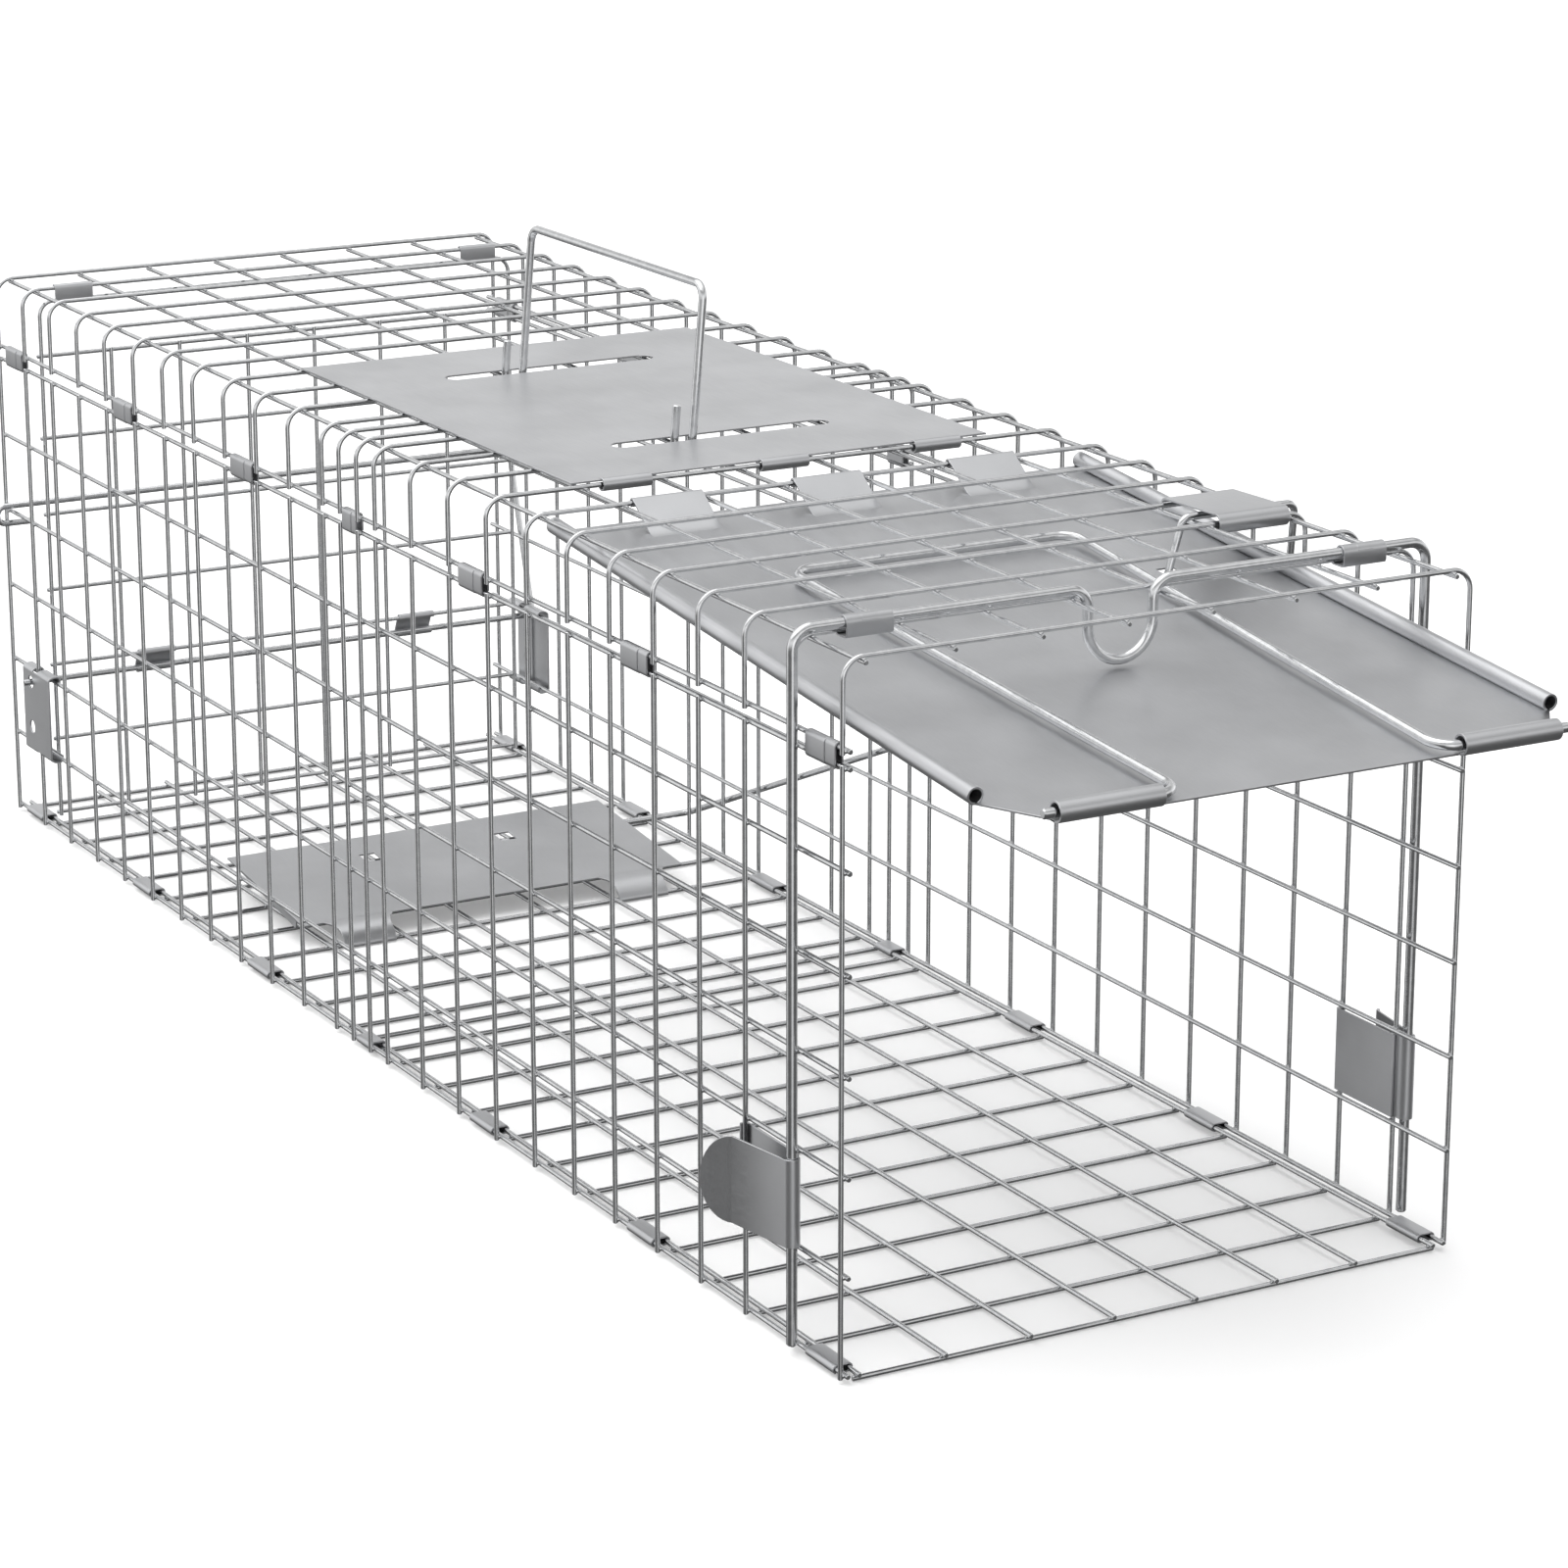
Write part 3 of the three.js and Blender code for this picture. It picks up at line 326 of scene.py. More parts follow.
def bright_zinc_wire():
    """Drawn steel wire, bright zinc plated: a mirror-like skin that is cloudy in patches 3 mm
    wide, over a fine grain that the drawing die leaves. The real grain is about 0.1 mm; it is
    drawn at 0.5 mm so that it shows."""
    finish, tree = new_finish("bright_zinc_wire")
    place = add(tree, "ShaderNodeTexCoord").outputs["Object"]
    cloud_size, grain_size = 3 * MM, 0.5 * MM
    cloud = add(
        tree, "ShaderNodeTexNoise", {"Vector": place, "Scale": 1 / cloud_size, "Detail": 3}
    )
    grain = add(
        tree, "ShaderNodeTexNoise", {"Vector": place, "Scale": 1 / grain_size, "Detail": 2}
    )
    shades = [(0.3, linear("#cccdcf")), (0.7, linear("#dcddde"))]
    colour = ramp(tree, cloud.outputs["Fac"], shades)
    rough = ramp(tree, cloud.outputs["Fac"], [(0.3, grey(0.14)), (0.75, grey(0.21))])
    bump = add(
        tree,
        "ShaderNodeBump",
        {"Height": grain.outputs["Fac"], "Strength": 0.05, "Distance": 0.02 * MM},
    )
    shader = add(
        tree,
        "ShaderNodeBsdfPrincipled",
        {
            "Base Color": colour,
            "Roughness": rough,
            "Metallic": 1.0,
            "Normal": bump.outputs["Normal"],
        },
    )
    add(tree, "ShaderNodeOutputMaterial", {"Surface": shader.outputs["BSDF"]})
    return finish


def satin_galvanised_sheet():
    """Cold-rolled steel sheet, satin zinc finish: an even silver grey with a soft sheen, drawn
    out by rolling lines along the sheet and clouded where the zinc is thicker. Real rolling
    lines are about 0.1 mm apart; they are drawn 0.6 mm apart so that they show."""
    finish, tree = new_finish("satin_galvanised_sheet")
    place = add(tree, "ShaderNodeTexCoord").outputs["Object"]
    cloud_size, line_gap, line_stretch = 45 * MM, 0.6 * MM, 0.04
    stretch = add(tree, "ShaderNodeMapping", {"Vector": place, "Scale": (1, line_stretch, 1)})
    grain = add(
        tree,
        "ShaderNodeTexNoise",
        {"Vector": stretch.outputs["Vector"], "Scale": 1 / line_gap, "Detail": 4},
    )
    cloud = add(
        tree, "ShaderNodeTexNoise", {"Vector": place, "Scale": 1 / cloud_size, "Detail": 3}
    )
    shades = [(0.3, linear("#bfc0c2")), (0.7, linear("#cdced0"))]
    colour = ramp(tree, cloud.outputs["Fac"], shades)
    rough = ramp(tree, grain.outputs["Fac"], [(0.3, grey(0.33)), (0.7, grey(0.42))])
    bump = add(
        tree,
        "ShaderNodeBump",
        {"Height": grain.outputs["Fac"], "Strength": 0.1, "Distance": 0.03 * MM},
    )
    shader = add(
        tree,
        "ShaderNodeBsdfPrincipled",
        {
            "Base Color": colour,
            "Roughness": rough,
            "Metallic": 1.0,
            "Normal": bump.outputs["Normal"],
        },
    )
    add(tree, "ShaderNodeOutputMaterial", {"Surface": shader.outputs["BSDF"]})
    return finish


def studio_floor():
    """Matt white studio card."""
    finish, tree = new_finish("studio_floor")
    shader = add(
        tree,
        "ShaderNodeBsdfPrincipled",
        {"Base Color": linear("#f7f7f7"), "Roughness": 0.9, "Specular IOR Level": 0.1},
    )
    add(tree, "ShaderNodeOutputMaterial", {"Surface": shader.outputs["BSDF"]})
    return finish


WIRE_FINISH = bright_zinc_wire()
SHEET_FINISH = satin_galvanised_sheet()


# Cage panels ----------------------------------------------------------------------------------


def straight(start, end):
    return tube([start, end], WIRE_RADIUS)


def long_row(x, z):
    return straight((x, ROW_START_Y, z), (x, ROW_END_Y, z))


def side_panel(name, side):
    parts = []
    rows = [BOTTOM_ROW_Z + i * ROW_PITCH for i in range(SIDE_ROWS)]
    for z in rows:
        parts.append(long_row(side * HALF_WIDTH, z))
    x = side * UPRIGHT_X
    low, high = BOTTOM_ROW_Z - WELD_STUB, SIDE_TOP_Z + WELD_STUB
    for y in STATIONS:
        parts.append(straight((x, y, low), (x, y, high)))
        parts += [weld((side * (HALF_WIDTH + WIRE_RADIUS), y, z)) for z in rows]
    piece(name, parts, WIRE_FINISH, [name])


def hoop(half, y, foot, top, radius):
    """A wire up one side, across and down the other."""
    corners = [(-half, y, foot), (-half, y, top), (half, y, top), (half, y, foot)]
    return tube(bend(corners, radius), WIRE_RADIUS)


def roof_panel():
    parts = []
    for side in (-1, 1):
        x = side * HALF_WIDTH
        parts.append(long_row(x, FLANGE_Z))
        parts += [weld((x + side * WIRE_RADIUS, y, FLANGE_Z)) for y in STATIONS]
    for x in spread(LONG_ROWS, ROOF_EDGE_X):
        parts.append(long_row(x, ROOF_ROW_Z))
        parts += [weld((x, y, ROOF_Z - WIRE_RADIUS)) for y in STATIONS]
    for y in STATIONS:
        parts.append(hoop(UPRIGHT_X, y, FLANGE_Z - WELD_STUB, ROOF_Z, 8))
    piece("roof_panel_wires", parts, WIRE_FINISH, ["roof_panel"])


def floor_panel():
    parts = []
    half = 127.2
    for y in STATIONS:
        parts.append(straight((-half, y, FLOOR_Z), (half, y, FLOOR_Z)))
    for x in spread(LONG_ROWS, FLOOR_EDGE_X):
        parts.append(long_row(x, ROW_Z))
        parts += [weld((x, y, FLOOR_Z + WIRE_RADIUS)) for y in STATIONS]
    piece("floor_panel_wires", parts, WIRE_FINISH, ["floor_panel"])


GATE_Y = 22.5 * CELL
GATE_X = 123.7
GATE_ROW_Z = 6.7
GATE_TOP_Z = ROOF_Z - 6


def rear_gate():
    row_y = GATE_Y + 2 * WIRE_RADIUS - WELD_SINK
    foot = GATE_ROW_Z - WELD_STUB
    rows = [GATE_ROW_Z + i * ROW_PITCH for i in range(6)] + [FLANGE_Z]
    parts = [hoop(GATE_X, GATE_Y, foot, GATE_TOP_Z, 7)]
    columns = spread(LONG_ROWS, GATE_X)
    for x in columns[1:-1]:
        parts.append(straight((x, GATE_Y, foot), (x, GATE_Y, FLANGE_Z + WELD_STUB)))
    end = GATE_X + WELD_STUB
    for z in rows:
        parts.append(straight((-end, row_y, z), (end, row_y, z)))
        parts += [weld((x, GATE_Y + WIRE_RADIUS, z)) for x in columns]
    piece("rear_gate_wires", parts, WIRE_FINISH, ["rear_gate"])


# Folded clips ---------------------------------------------------------------------------------


def loop_run(a, b, radius_a, radius_b, start, end):
    """A strip's run round two wires, seen end on: round a by start degrees, along to b on the
    left of the way from a to b, and round b by end degrees."""
    (au, av), (bu, bv) = a, b
    way = math.degrees(math.atan2(bv - av, bu - au))
    lean = math.degrees(math.asin((radius_a - radius_b) / math.dist(a, b)))
    outward = way + 90 - lean
    return arc(a, radius_a, outward + start, outward) + arc(b, radius_b, outward, outward - end)


def clip_radius(wire_radius):
    return wire_radius + SNUG + CLIP_SHEET / 2


# Each seam clip's middle, in cells from the front wire, and its length.
SEAM_CLIPS = [
    (0.45, 20),
    (4.45, 20),
    (8.45, 20),
    (11.75, 13),
    (15, 22),
    (18.95, 20),
    (22.95, 20),
]
SEAM_TURNS = (200, 172)
CRIMP_STEP = 0.35
CRIMP_SHARE = 0.34


def seam_clips():
    """Stadium-shaped loops that tie the panels' edge wires together, each closed by a lip."""
    radius = clip_radius(WIRE_RADIUS)
    inner_x, under_z = HALF_WIDTH - radius, BOTTOM_ROW_Z - radius
    upright = loop_run((0, SEAM_STEP), (0, 0), radius, radius, *SEAM_TURNS)
    upright = [(u + HALF_WIDTH, v + SIDE_TOP_Z) for u, v in upright]
    band = [(u + (CRIMP_STEP if u > HALF_WIDTH else 0), v) for u, v in upright]
    inner = [(inner_x, SIDE_TOP_Z + SEAM_STEP), (inner_x, SIDE_TOP_Z + 0.4)]
    flat = loop_run((-4.7, 0), (0, 0), radius, radius, *SEAM_TURNS)
    flat = [(u + HALF_WIDTH, v + BOTTOM_ROW_Z) for u, v in flat]
    under = [(HALF_WIDTH - 4.2, under_z), (HALF_WIDTH - 0.4, under_z)]
    for name, side in (("left", -1), ("right", 1)):
        roof, floor = [], []
        for cell, length in SEAM_CLIPS:
            low, high = cell * CELL - length / 2, cell * CELL + length / 2
            split = low + CRIMP_SHARE * (high - low)
            made = [
                (roof, strip(band, "Y", split, high, CLIP_SHEET)),
                (roof, strip(upright, "Y", low, split, CLIP_SHEET)),
                (roof, strip(inner, "Y", low, high, CLIP_SHEET)),
                (floor, strip(flat, "Y", low, high, CLIP_SHEET)),
                (floor, strip(under, "Y", low, high, CLIP_SHEET)),
            ]
            for parts, part in made:
                parts.append(part if side > 0 else mirrored(part))
        numbers = range(1, len(SEAM_CLIPS) + 1)
        for kind, parts in (("roof", roof), ("floor", floor)):
            nodes = [f"{kind}_clip_{name}_{i}" for i in numbers]
            piece(f"{kind}_clips_{name}", parts, SHEET_FINISH, nodes, edge=SHEET_EDGE)


FRAME_Y = CELL - 4
FRAME_TOP_Z = ROOF_Z + 3.6
GATE_PIN_ROW_Z = GATE_ROW_Z + 2 * ROW_PITCH
PIN_Y = GATE_Y + 5.5
PIN_Z = GATE_PIN_ROW_Z - 8.3
CLIP_HALF = 9.5


def cross_clip(name, x, run, *more):
    """A clip folded round two wires that run across the cage."""
    parts = [strip(run, "X", x - CLIP_HALF, x + CLIP_HALF, CLIP_SHEET), *more]
    piece(name, parts, SHEET_FINISH, [name], edge=SHEET_EDGE)


def frame_clip(name, x):
    """Folded over the frame rod, straight down in front, and back under the roof wire, with a
    raised punch mark on its front."""
    over, under = clip_radius(ROD_RADIUS), clip_radius(WIRE_RADIUS)
    front, foot = FRAME_Y - over, ROOF_Z - under
    run = arc((FRAME_Y, FRAME_TOP_Z), over, 20, 180)
    run += [(front, foot + 1), (front + 0.5, foot + 0.2), (front + 1.3, foot)]
    run += arc((CELL, ROOF_Z), under, -90, 60)
    mark = arc((FRAME_Y, FRAME_TOP_Z), over + CLIP_SHEET / 2, 118, 168, 8)
    cross_clip(name, x, run, strip(mark, "X", x - 3.2, x + 3.2, 0.3))


def small_clips():
    wire, pin = clip_radius(WIRE_RADIUS), clip_radius(PIN_RADIUS)
    hang = loop_run((GATE_Y, GATE_TOP_Z), (GATE_Y, ROOF_Z), wire, wire, 190, 190)
    hold = loop_run((GATE_Y + 2, GATE_PIN_ROW_Z), (PIN_Y, PIN_Z), wire, pin, 200, 200)
    for name, side in (("left", -1), ("right", 1)):
        frame_clip(f"frame_clip_{name}", side * 105)
        cross_clip(f"gate_clip_{name}", side * 106.5, hang)
        cross_clip(f"pin_clip_{name}", side * 70, hold)


# Front frame ----------------------------------------------------------------------------------

FRAME_X = 134.6
LOOP_X = 13.9
LOOP_Z = 241.3


def frame_rod():
    """Up the left side, over to a round finger loop in the middle, and down the right side."""
    centre_z = LOOP_Z + LOOP_X
    side = [
        (FRAME_X, FRAME_Y, 4),
        (FRAME_X, FRAME_Y, FRAME_TOP_Z),
        (LOOP_X, FRAME_Y, FRAME_TOP_Z),
        (LOOP_X, FRAME_Y, centre_z),
    ]
    right = bend(side, 7.5)
    left = [Vector((-p.x, p.y, p.z)) for p in right]
    loop = arc((0, centre_z), LOOP_X, 180, 360, 10)[1:-1]
    run = left + [Vector((u, FRAME_Y, v)) for u, v in loop] + right[::-1]
    piece("frame_rod_bent", [tube(run, ROD_RADIUS, 20, 0.5)], WIRE_FINISH, ["frame_rod"])


def spring_bracket(name, side):
    """One leaf hooked on the second upright, a roll round the rod, and an outer leaf that
    flares out to a rounded thumb ear."""
    radius = ROD_RADIUS + 0.25 + SHEET / 2
    upright_u, upright_v = 132.2 - FRAME_X, 2 * CELL - FRAME_Y
    clear = WIRE_RADIUS + 0.3 + SHEET / 2
    inner_u, hook_v = upright_u - clear, upright_v + clear
    hook = [(upright_u + 1.2, hook_v), *arc((inner_u + 1, hook_v - 1), 1, 90, 180, 30)]
    inner = [*hook, (inner_u, radius)]
    roll = [(-radius, 2), *arc((0, 0), radius, 180, 360, 12), (radius + 0.3, 3)]
    elbow = Vector((radius + 5, 30))
    leaf = [Vector((radius, 0)), elbow]
    half = 16.7
    halves = [half, half]
    ear = Vector((8.5, 9))
    for i in range(1, 11):
        share = math.sin(math.radians(9 * i))
        leaf.append(elbow + ear * share)
        halves.append(max(half * math.sqrt(1 - share * share), 0.8))
    middle = BOTTOM_ROW_Z + 1.5 * ROW_PITCH
    parts = [strip(run, "Z", middle - half, middle + half) for run in (inner, roll)]
    parts.append(strip([(-radius, 2), (inner_u, 6)], "Z", middle - half, middle + half))
    parts.append(strip(leaf, "Z", [middle - h for h in halves], [middle + h for h in halves]))
    parts = [moved(part, Matrix.Translation((FRAME_X, FRAME_Y, 0))) for part in parts]
    if side < 0:
        parts = [mirrored(part) for part in parts]
    piece(name, parts, SHEET_FINISH, [name], edge=SHEET_EDGE)


# Drop door ------------------------------------------------------------------------------------

DOOR_Y = 7 * CELL
TILT = math.radians(5.22)
DOOR_PLACE = CAGE @ Matrix.Translation((0, DOOR_Y, ROOF_Z)) @ Matrix.Rotation(TILT, 4, "X")
PLATE_Z = -8.2
ROLL_X = 119.1
ROLL_RADIUS = 2.85
DOOR_LENGTH = 333.6
TUBE_RADIUS = 3.5
TUBE_X = (61.8, 103.2)
CUT_CORNER_Y = -309.5


def drop_door():
    """A plate with rolled sides, two front corners cut off, a tube at each end of its front edge
    for the bail, three hinge tabs round a roof wire, and a catch hole for the trigger's hook."""
    edge_x = TUBE_X[1]
    corners = [(-ROLL_X, 1), (-ROLL_X, CUT_CORNER_Y), (-edge_x, -331), (-edge_x, -DOOR_LENGTH)]
    outline = corners + [(-x, y) for x, y in reversed(corners)]
    catch_x, catch_y = 78.1, -127.5
    catch_hole = rectangle(catch_x - 4, catch_x + 4, catch_y - 3.5, catch_y + 3.5)
    parts = [plate([outline, catch_hole], PLATE_Z - SHEET / 2, PLATE_Z + SHEET / 2)]
    tube_centre = (-DOOR_LENGTH, PLATE_Z + TUBE_RADIUS)
    curl = [(-DOOR_LENGTH + 3, PLATE_Z), *arc(tube_centre, TUBE_RADIUS, -90, -390, 12)]
    right_tube = strip(curl, "X", *TUBE_X)
    roll_centre = (ROLL_X, PLATE_Z + ROLL_RADIUS)
    roll = [(ROLL_X - 3, PLATE_Z), *arc(roll_centre, ROLL_RADIUS, -90, 248, 13)]
    right_roll = strip(roll, "Y", CUT_CORNER_Y, 1)
    wrap = clip_radius(WIRE_RADIUS) + 0.2
    rise = [(-19, PLATE_Z), (-16.5, PLATE_Z + 0.4), (-14, PLATE_Z + 1.6)]
    tab = [*rise, *arc((0, 0), wrap, 122, -70)]
    parts += [right_tube, mirrored(right_tube), right_roll, mirrored(right_roll)]
    parts += [strip(tab, "X", x - 15.3, x + 15.3) for x in KNUCKLE_X]
    piece("drop_door_sheet", parts, SHEET_FINISH, ["drop_door"], "door", SHEET_EDGE, DOOR_PLACE)


def lock_bail():
    """A wire bow whose two ends turn out into the door's tubes."""
    front, rear, length, pin = 53.1, 62.7, 251, 108.2
    left = [(-pin, 0, 0), (-front, 0, 0), (-rear, length, 0)]
    corners = left + [(-x, y, z) for x, y, z in reversed(left)]
    place = DOOR_PLACE @ Matrix.Translation((0, -DOOR_LENGTH, PLATE_Z + TUBE_RADIUS))
    parts = [tube(bend(corners, 9), BAIL_RADIUS, 20, 0.5)]
    piece("lock_bail_wire", parts, WIRE_FINISH, ["lock_bail"], "door_bail", place=place)


# Hand guard and handle ------------------------------------------------------------------------

GUARD_Z = ROOF_Z + WIRE_RADIUS + 0.3 + SHEET / 2
HANDLE_Y = (9.5 * CELL, 14 * CELL)


def guard_plate():
    """A flat plate held by three curls round a roof wire, slotted for the handle's legs."""
    front, rear, half = 8 * CELL, 15.5 * CELL, 95
    outline = rectangle(-half, half, front, rear)
    slots = [arc((45, y), 5, -90, 90) + arc((-45, y), 5, 90, 270) for y in HANDLE_Y]
    parts = [plate([outline, *slots], GUARD_Z - SHEET / 2, GUARD_Z + SHEET / 2)]
    wrap = 2.3
    curl = [(front + 3, GUARD_Z), *arc((front, ROOF_Z), wrap, 55, 330, 12)]
    parts += [strip(curl, "X", x - 10.75, x + 10.75) for x in KNUCKLE_X]
    piece("guard_plate_sheet", parts, SHEET_FINISH, ["guard_plate"], edge=SHEET_EDGE)


def carry_handle():
    """Hooked under a roof row at both ends, leaning a little to the right."""
    hook, height, tail, lean = 4.2, 67, 18, math.radians(5)
    span = HANDLE_Y[1] - HANDLE_Y[0]
    under = [Vector((u, 0, v)) for u, v in arc((0, 0), hook, 180, 360)]
    bow = bend([(hook, 0, 0), (hook, 0, height), (hook, span, height), (hook, span, 0)], 6)[1:-1]
    far = [p + Vector((0, span, 0)) for p in reversed(under)]
    run = [Vector((-hook, 0, tail)), *under, *bow, *far, Vector((-hook, span, tail))]
    row_x = spread(LONG_ROWS, ROOF_EDGE_X)[3]
    pivot = Matrix.Translation((row_x, HANDLE_Y[0], ROOF_ROW_Z - 0.5))
    place = CAGE @ pivot @ Matrix.Rotation(lean, 4, "Y")
    parts = [tube(run, HANDLE_RADIUS, 20, 0.4)]
    piece("carry_handle_wire", parts, WIRE_FINISH, ["carry_handle"], "handle", place=place)


# Pedal and trigger ----------------------------------------------------------------------------

PEDAL_Y = 15.5 * CELL
PEDAL_TILT = math.radians(5.8)
PEDAL_PIVOT = Matrix.Translation((0, PEDAL_Y, FLOOR_Z))
PEDAL_PLACE = CAGE @ PEDAL_PIVOT @ Matrix.Rotation(PEDAL_TILT, 4, "X")
BAR_Y, BAR_Z = 76, 11.3
LIFT = 7.1
TONGUE_X, TONGUE_HALF = (-35, 35), 4
CURL_X, CURL_HALF = (-69.75, 69.75), 12.75


def pedal():
    """A tread plate with two tongues bent down under the crossbar, two curls round a floor
    wire, and a tapered flange down each side."""
    half, front, rear = 97, 11.7, 99
    wall, tongue_end = BAR_Y - 6.8, BAR_Y + 3
    windows = [
        rectangle(x - TONGUE_HALF, x + TONGUE_HALF, wall + 0.4, tongue_end) for x in TONGUE_X
    ]
    outline = rectangle(-half, half, front, rear)
    parts = [plate([outline, *windows], LIFT - SHEET / 2, LIFT + SHEET / 2)]
    slope = [(front + 1, 0), (front - 1, 0), (8.2, 0.15), (5.8, 0.6), (3.4, 1.4)]
    slope += [(1.3, 2.6), (-0.4, 4)]
    curl = [(y, LIFT - fall) for y, fall in slope] + arc((0, 0), 2.2, 140, 190)
    flare = [5, 3.6, 1.6, 0.5] + [0] * (len(curl) - 4)
    for x in CURL_X:
        left = [x - CURL_HALF - w for w in flare]
        right = [x + CURL_HALF + w for w in flare]
        parts.append(strip(curl, "X", left, right))
    drop = BAR_Z - BAR_Y * math.sin(PEDAL_TILT) - 3.6
    tongue = [(wall, LIFT), (wall, drop), (tongue_end, drop)]
    parts += [strip(tongue, "X", x - TONGUE_HALF, x + TONGUE_HALF) for x in TONGUE_X]
    taper = [(20, LIFT), (20, LIFT - 4.2)]
    parts.append(plate([[(rear - 1, LIFT), *taper]], -half, -half + SHEET, "X"))
    parts.append(plate([[(wall - 2, LIFT), *taper]], half - SHEET, half, "X"))
    piece("pedal_sheet", parts, SHEET_FINISH, ["pedal"], "foot_pedal", SHEET_EDGE, PEDAL_PLACE)


TRIGGER_X = 135.6
TRIGGER_Y = 116.0
TRIGGER_Z = 266.2


def trigger_rod():
    """From the crossbar under the pedal, up outside the right wall, to a hook over the door."""
    corners = [
        (-45, PEDAL_Y + BAR_Y, FLOOR_Z + BAR_Z),
        (TRIGGER_X, PEDAL_Y + BAR_Y, FLOOR_Z + BAR_Z),
        (TRIGGER_X, TRIGGER_Y + 5, TRIGGER_Z - 49),
        (TRIGGER_X, TRIGGER_Y, TRIGGER_Z),
        (83.8, TRIGGER_Y, TRIGGER_Z),
        (76.5, TRIGGER_Y, TRIGGER_Z - 24.7),
    ]
    parts = [tube(bend(corners, 4), PIN_RADIUS, 16, 0.4)]
    piece("trigger_rod_wire", parts, WIRE_FINISH, ["trigger_rod"], "trigger")


def rod_cover():
    """Sheet rolled round the roof wires on both sides of the rod."""
    x, half = 106.5, 16
    nose = arc((3 * CELL + 0.6, ROOF_Z - 0.2), 3.6, 330, 95, 12)
    tail = arc((4 * CELL, ROOF_Z), 2.6, 90, 20, 14)
    parts = [strip(nose + tail, "X", x - half, x + half)]
    piece("rod_cover_sheet", parts, SHEET_FINISH, ["rod_cover"], edge=SHEET_EDGE)


# Rear hardware --------------------------------------------------------------------------------

BRACKET_X = 134.1


def rear_bracket(name, side):
    """A plate with two pin holes, its top and bottom edges rolled in over the side rows on
    both sides of the gate."""
    low, high = BOTTOM_ROW_Z + ROW_PITCH, BOTTOM_ROW_Z + 2 * ROW_PITCH
    wrap, lift, inset = clip_radius(WIRE_RADIUS) + 0.3, 0.8, 0.6
    y0, y1 = GATE_Y - 18.5, GATE_Y + 15.5
    holes = [arc((PIN_Y, PIN_Z - drop), 3.2, 0, 345) for drop in (0, 22.5)]
    outline = rectangle(y0, y1, low - 1, high + 1)
    parts = [plate([outline, *holes], BRACKET_X - SHEET / 2, BRACKET_X + SHEET / 2, "X")]
    reach = BRACKET_X - HALF_WIDTH - inset
    outer = [(HALF_WIDTH + inset + u * reach / wrap, v) for u, v in arc((0, lift), wrap, 15, 75)]
    inner = arc((HALF_WIDTH, lift), wrap, 90, 180)
    fold = [(BRACKET_X, lift), *outer, *inner, (HALF_WIDTH - wrap, -lift)]
    for row, up in ((high, 1), (low, -1)):
        over = [(x, row + up * rise) for x, rise in fold]
        for start, end in ((y0, GATE_Y - 3), (GATE_Y + 3, y1)):
            parts.append(strip(over, "Y", start, end))
    if side < 0:
        parts = [mirrored(part) for part in parts]
    piece(name, parts, SHEET_FINISH, [name], edge=SHEET_EDGE)


def lock_pin():
    """Through both brackets' holes, up the right side, back across the gate and round under
    itself on the left."""
    bar_y = PIN_Y + 24.4
    bar_z = BOTTOM_ROW_Z + 4 * ROW_PITCH + 3.2
    pin_x, turn = 137.2, 4.25
    turn_x = -HALF_WIDTH - turn
    corners = [
        (-BRACKET_X - 3.8, PIN_Y, PIN_Z),
        (pin_x, PIN_Y, PIN_Z),
        (pin_x, bar_y, bar_z),
        (turn_x, bar_y, bar_z),
    ]
    round_row = [Vector((u, bar_y, v)) for u, v in arc((turn_x, bar_z - turn), turn, 90, 270)][1:]
    run = bend(corners, 4) + round_row + [Vector((turn_x + 13, bar_y, bar_z - 2 * turn))]
    piece("lock_pin_wire", [tube(run, PIN_RADIUS, 16, 0.4)], WIRE_FINISH, ["lock_pin"])


# Studio ---------------------------------------------------------------------------------------


def studio():
    """White card under the trap. The metal mirrors the lit panels round it, not the card."""
    finish = studio_floor()
    mesh = bpy.data.meshes.new("studio_floor")
    reach, drop = 30000 * MM, 0.3 * MM
    corners = [(x, y, 0) for x, y in rectangle(-reach, reach, -reach, reach)]
    mesh.from_pydata(corners, [], [(0, 1, 2, 3)])
    mesh.materials.append(finish)
    floor = bpy.data.objects.new("studio_floor", mesh)
    bpy.context.scene.collection.objects.link(floor)
    floor.location.z = -drop
    floor.visible_glossy = False


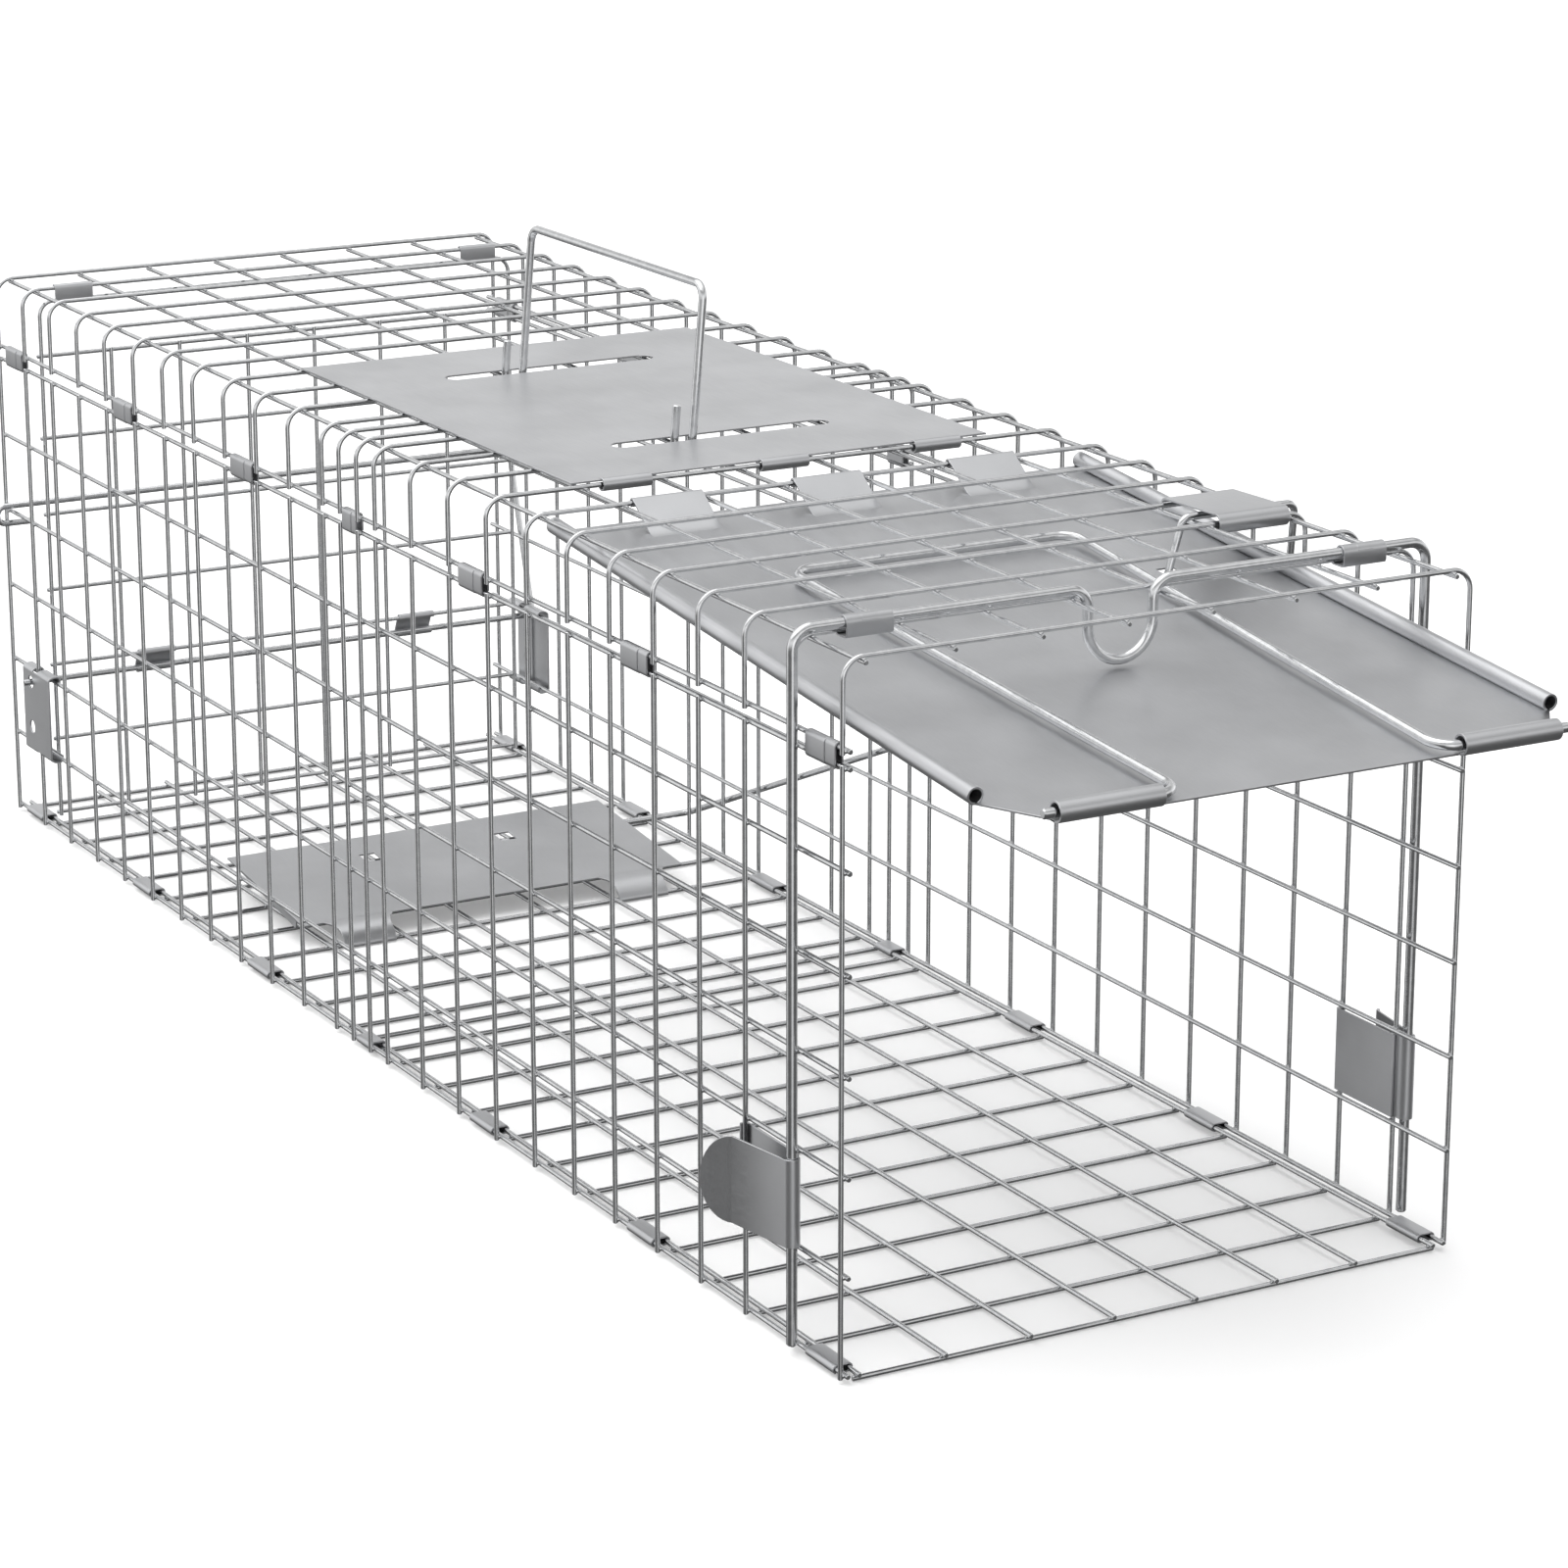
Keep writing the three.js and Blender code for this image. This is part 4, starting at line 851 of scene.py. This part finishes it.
def studio_light():
    """Three tall lit panels round the trap with dark gaps between them, under a bright ceiling,
    one broad lamp overhead, and a second that only fills the shadows on the card. The metal
    mirrors the panels; the camera itself sees plain white behind the card."""
    world = bpy.data.worlds.new("studio")
    world.use_nodes = True
    tree = world.node_tree
    tree.nodes.clear()

    def math_node(operation, *values):
        inputs = dict(enumerate(values))
        return add(tree, "ShaderNodeMath", inputs, operation=operation).outputs["Value"]

    place = add(tree, "ShaderNodeTexCoord").outputs["Generated"]
    parts = add(tree, "ShaderNodeSeparateXYZ", {"Vector": place}).outputs
    panels, first_panel, brightest = 3.0, math.radians(45), math.radians(-60)
    round_about = math_node("ARCTAN2", parts["Y"], parts["X"])
    turns = math_node("MULTIPLY_ADD", round_about, panels, -first_panel)
    panel = math_node("MAXIMUM", math_node("COSINE", turns), 0.0)
    lean = math_node("COSINE", math_node("ADD", round_about, -brightest))
    panel = math_node("MULTIPLY", panel, math_node("MULTIPLY_ADD", lean, 0.15, 0.85))
    # Both ramps run over height: 0 straight down, 0.5 level with the trap, 1 straight up.
    height = math_node("MULTIPLY_ADD", parts["Z"], 0.5, 0.5)
    fill = [
        (0.0, 0.1),
        (0.3, 0.12),
        (0.42, 0.17),
        (0.5, 0.45),
        (0.54, 0.8),
        (0.64, 1.05),
        (0.71, 0.75),
        (0.8, 0.38),
        (0.9, 0.9),
        (1.0, 1.0),
    ]
    fill = ramp(tree, height, [(at, grey(level)) for at, level in fill])
    reach = [(0.0, 0.0), (0.26, 0.1), (0.38, 1.0), (0.5, 1.0), (0.62, 0.15), (1.0, 0.0)]
    reach = ramp(tree, height, [(at, grey(level)) for at, level in reach])
    sky = math_node("MULTIPLY_ADD", panel, reach, fill)
    seen = add(tree, "ShaderNodeLightPath").outputs["Is Camera Ray"]
    sky = add(tree, "ShaderNodeMix", {0: seen, 2: sky, 3: 1.0}).outputs[0]
    back = add(tree, "ShaderNodeBackground", {"Color": sky, "Strength": 1.0})
    add(tree, "ShaderNodeOutputWorld", {"Surface": back.outputs["Background"]})
    bpy.context.scene.world = world
    bpy.context.scene.view_settings.view_transform = "Standard"
    breadth, lamp_turn = math.radians(80), (math.radians(-14), math.radians(-20), 0)
    for name, strength, lights_metal in (("overhead", 1.3, True), ("card_fill", 1.5, False)):
        light = bpy.data.lights.new(name, "SUN")
        light.energy, light.angle = strength, breadth
        light.use_shadow = lights_metal
        lamp = bpy.data.objects.new(name, light)
        lamp.rotation_euler = lamp_turn
        lamp.visible_glossy = lights_metal
        bpy.context.scene.collection.objects.link(lamp)


def camera():
    """Where the work is seen from: left of the door end, looking down at 16 degrees."""
    data = bpy.data.cameras.new("camera")
    data.lens, data.sensor_width = 111.0, 36
    eye = bpy.data.objects.new("camera", data)
    eye.location = Vector((-924.0, front_y - 1371.2, 685.5)) * MM
    turn, dip = math.radians(29.287), math.radians(16.337)
    gaze = Vector((math.sin(turn) * math.cos(dip), math.cos(turn) * math.cos(dip), -math.sin(dip)))
    eye.rotation_euler = gaze.to_track_quat("-Z", "Y").to_euler()
    data.clip_start, data.clip_end = 0.01, 100
    bpy.context.scene.collection.objects.link(eye)
    bpy.context.scene.camera = eye


side_panel("side_panel_left", -1)
side_panel("side_panel_right", 1)
roof_panel()
floor_panel()
rear_gate()
seam_clips()
small_clips()
frame_rod()
for hand, hand_side in (("left", -1), ("right", 1)):
    spring_bracket(f"spring_bracket_{hand}", hand_side)
    rear_bracket(f"rear_bracket_{hand}", hand_side)
drop_door()
lock_bail()
guard_plate()
carry_handle()
pedal()
trigger_rod()
rod_cover()
lock_pin()
studio()
studio_light()
camera()
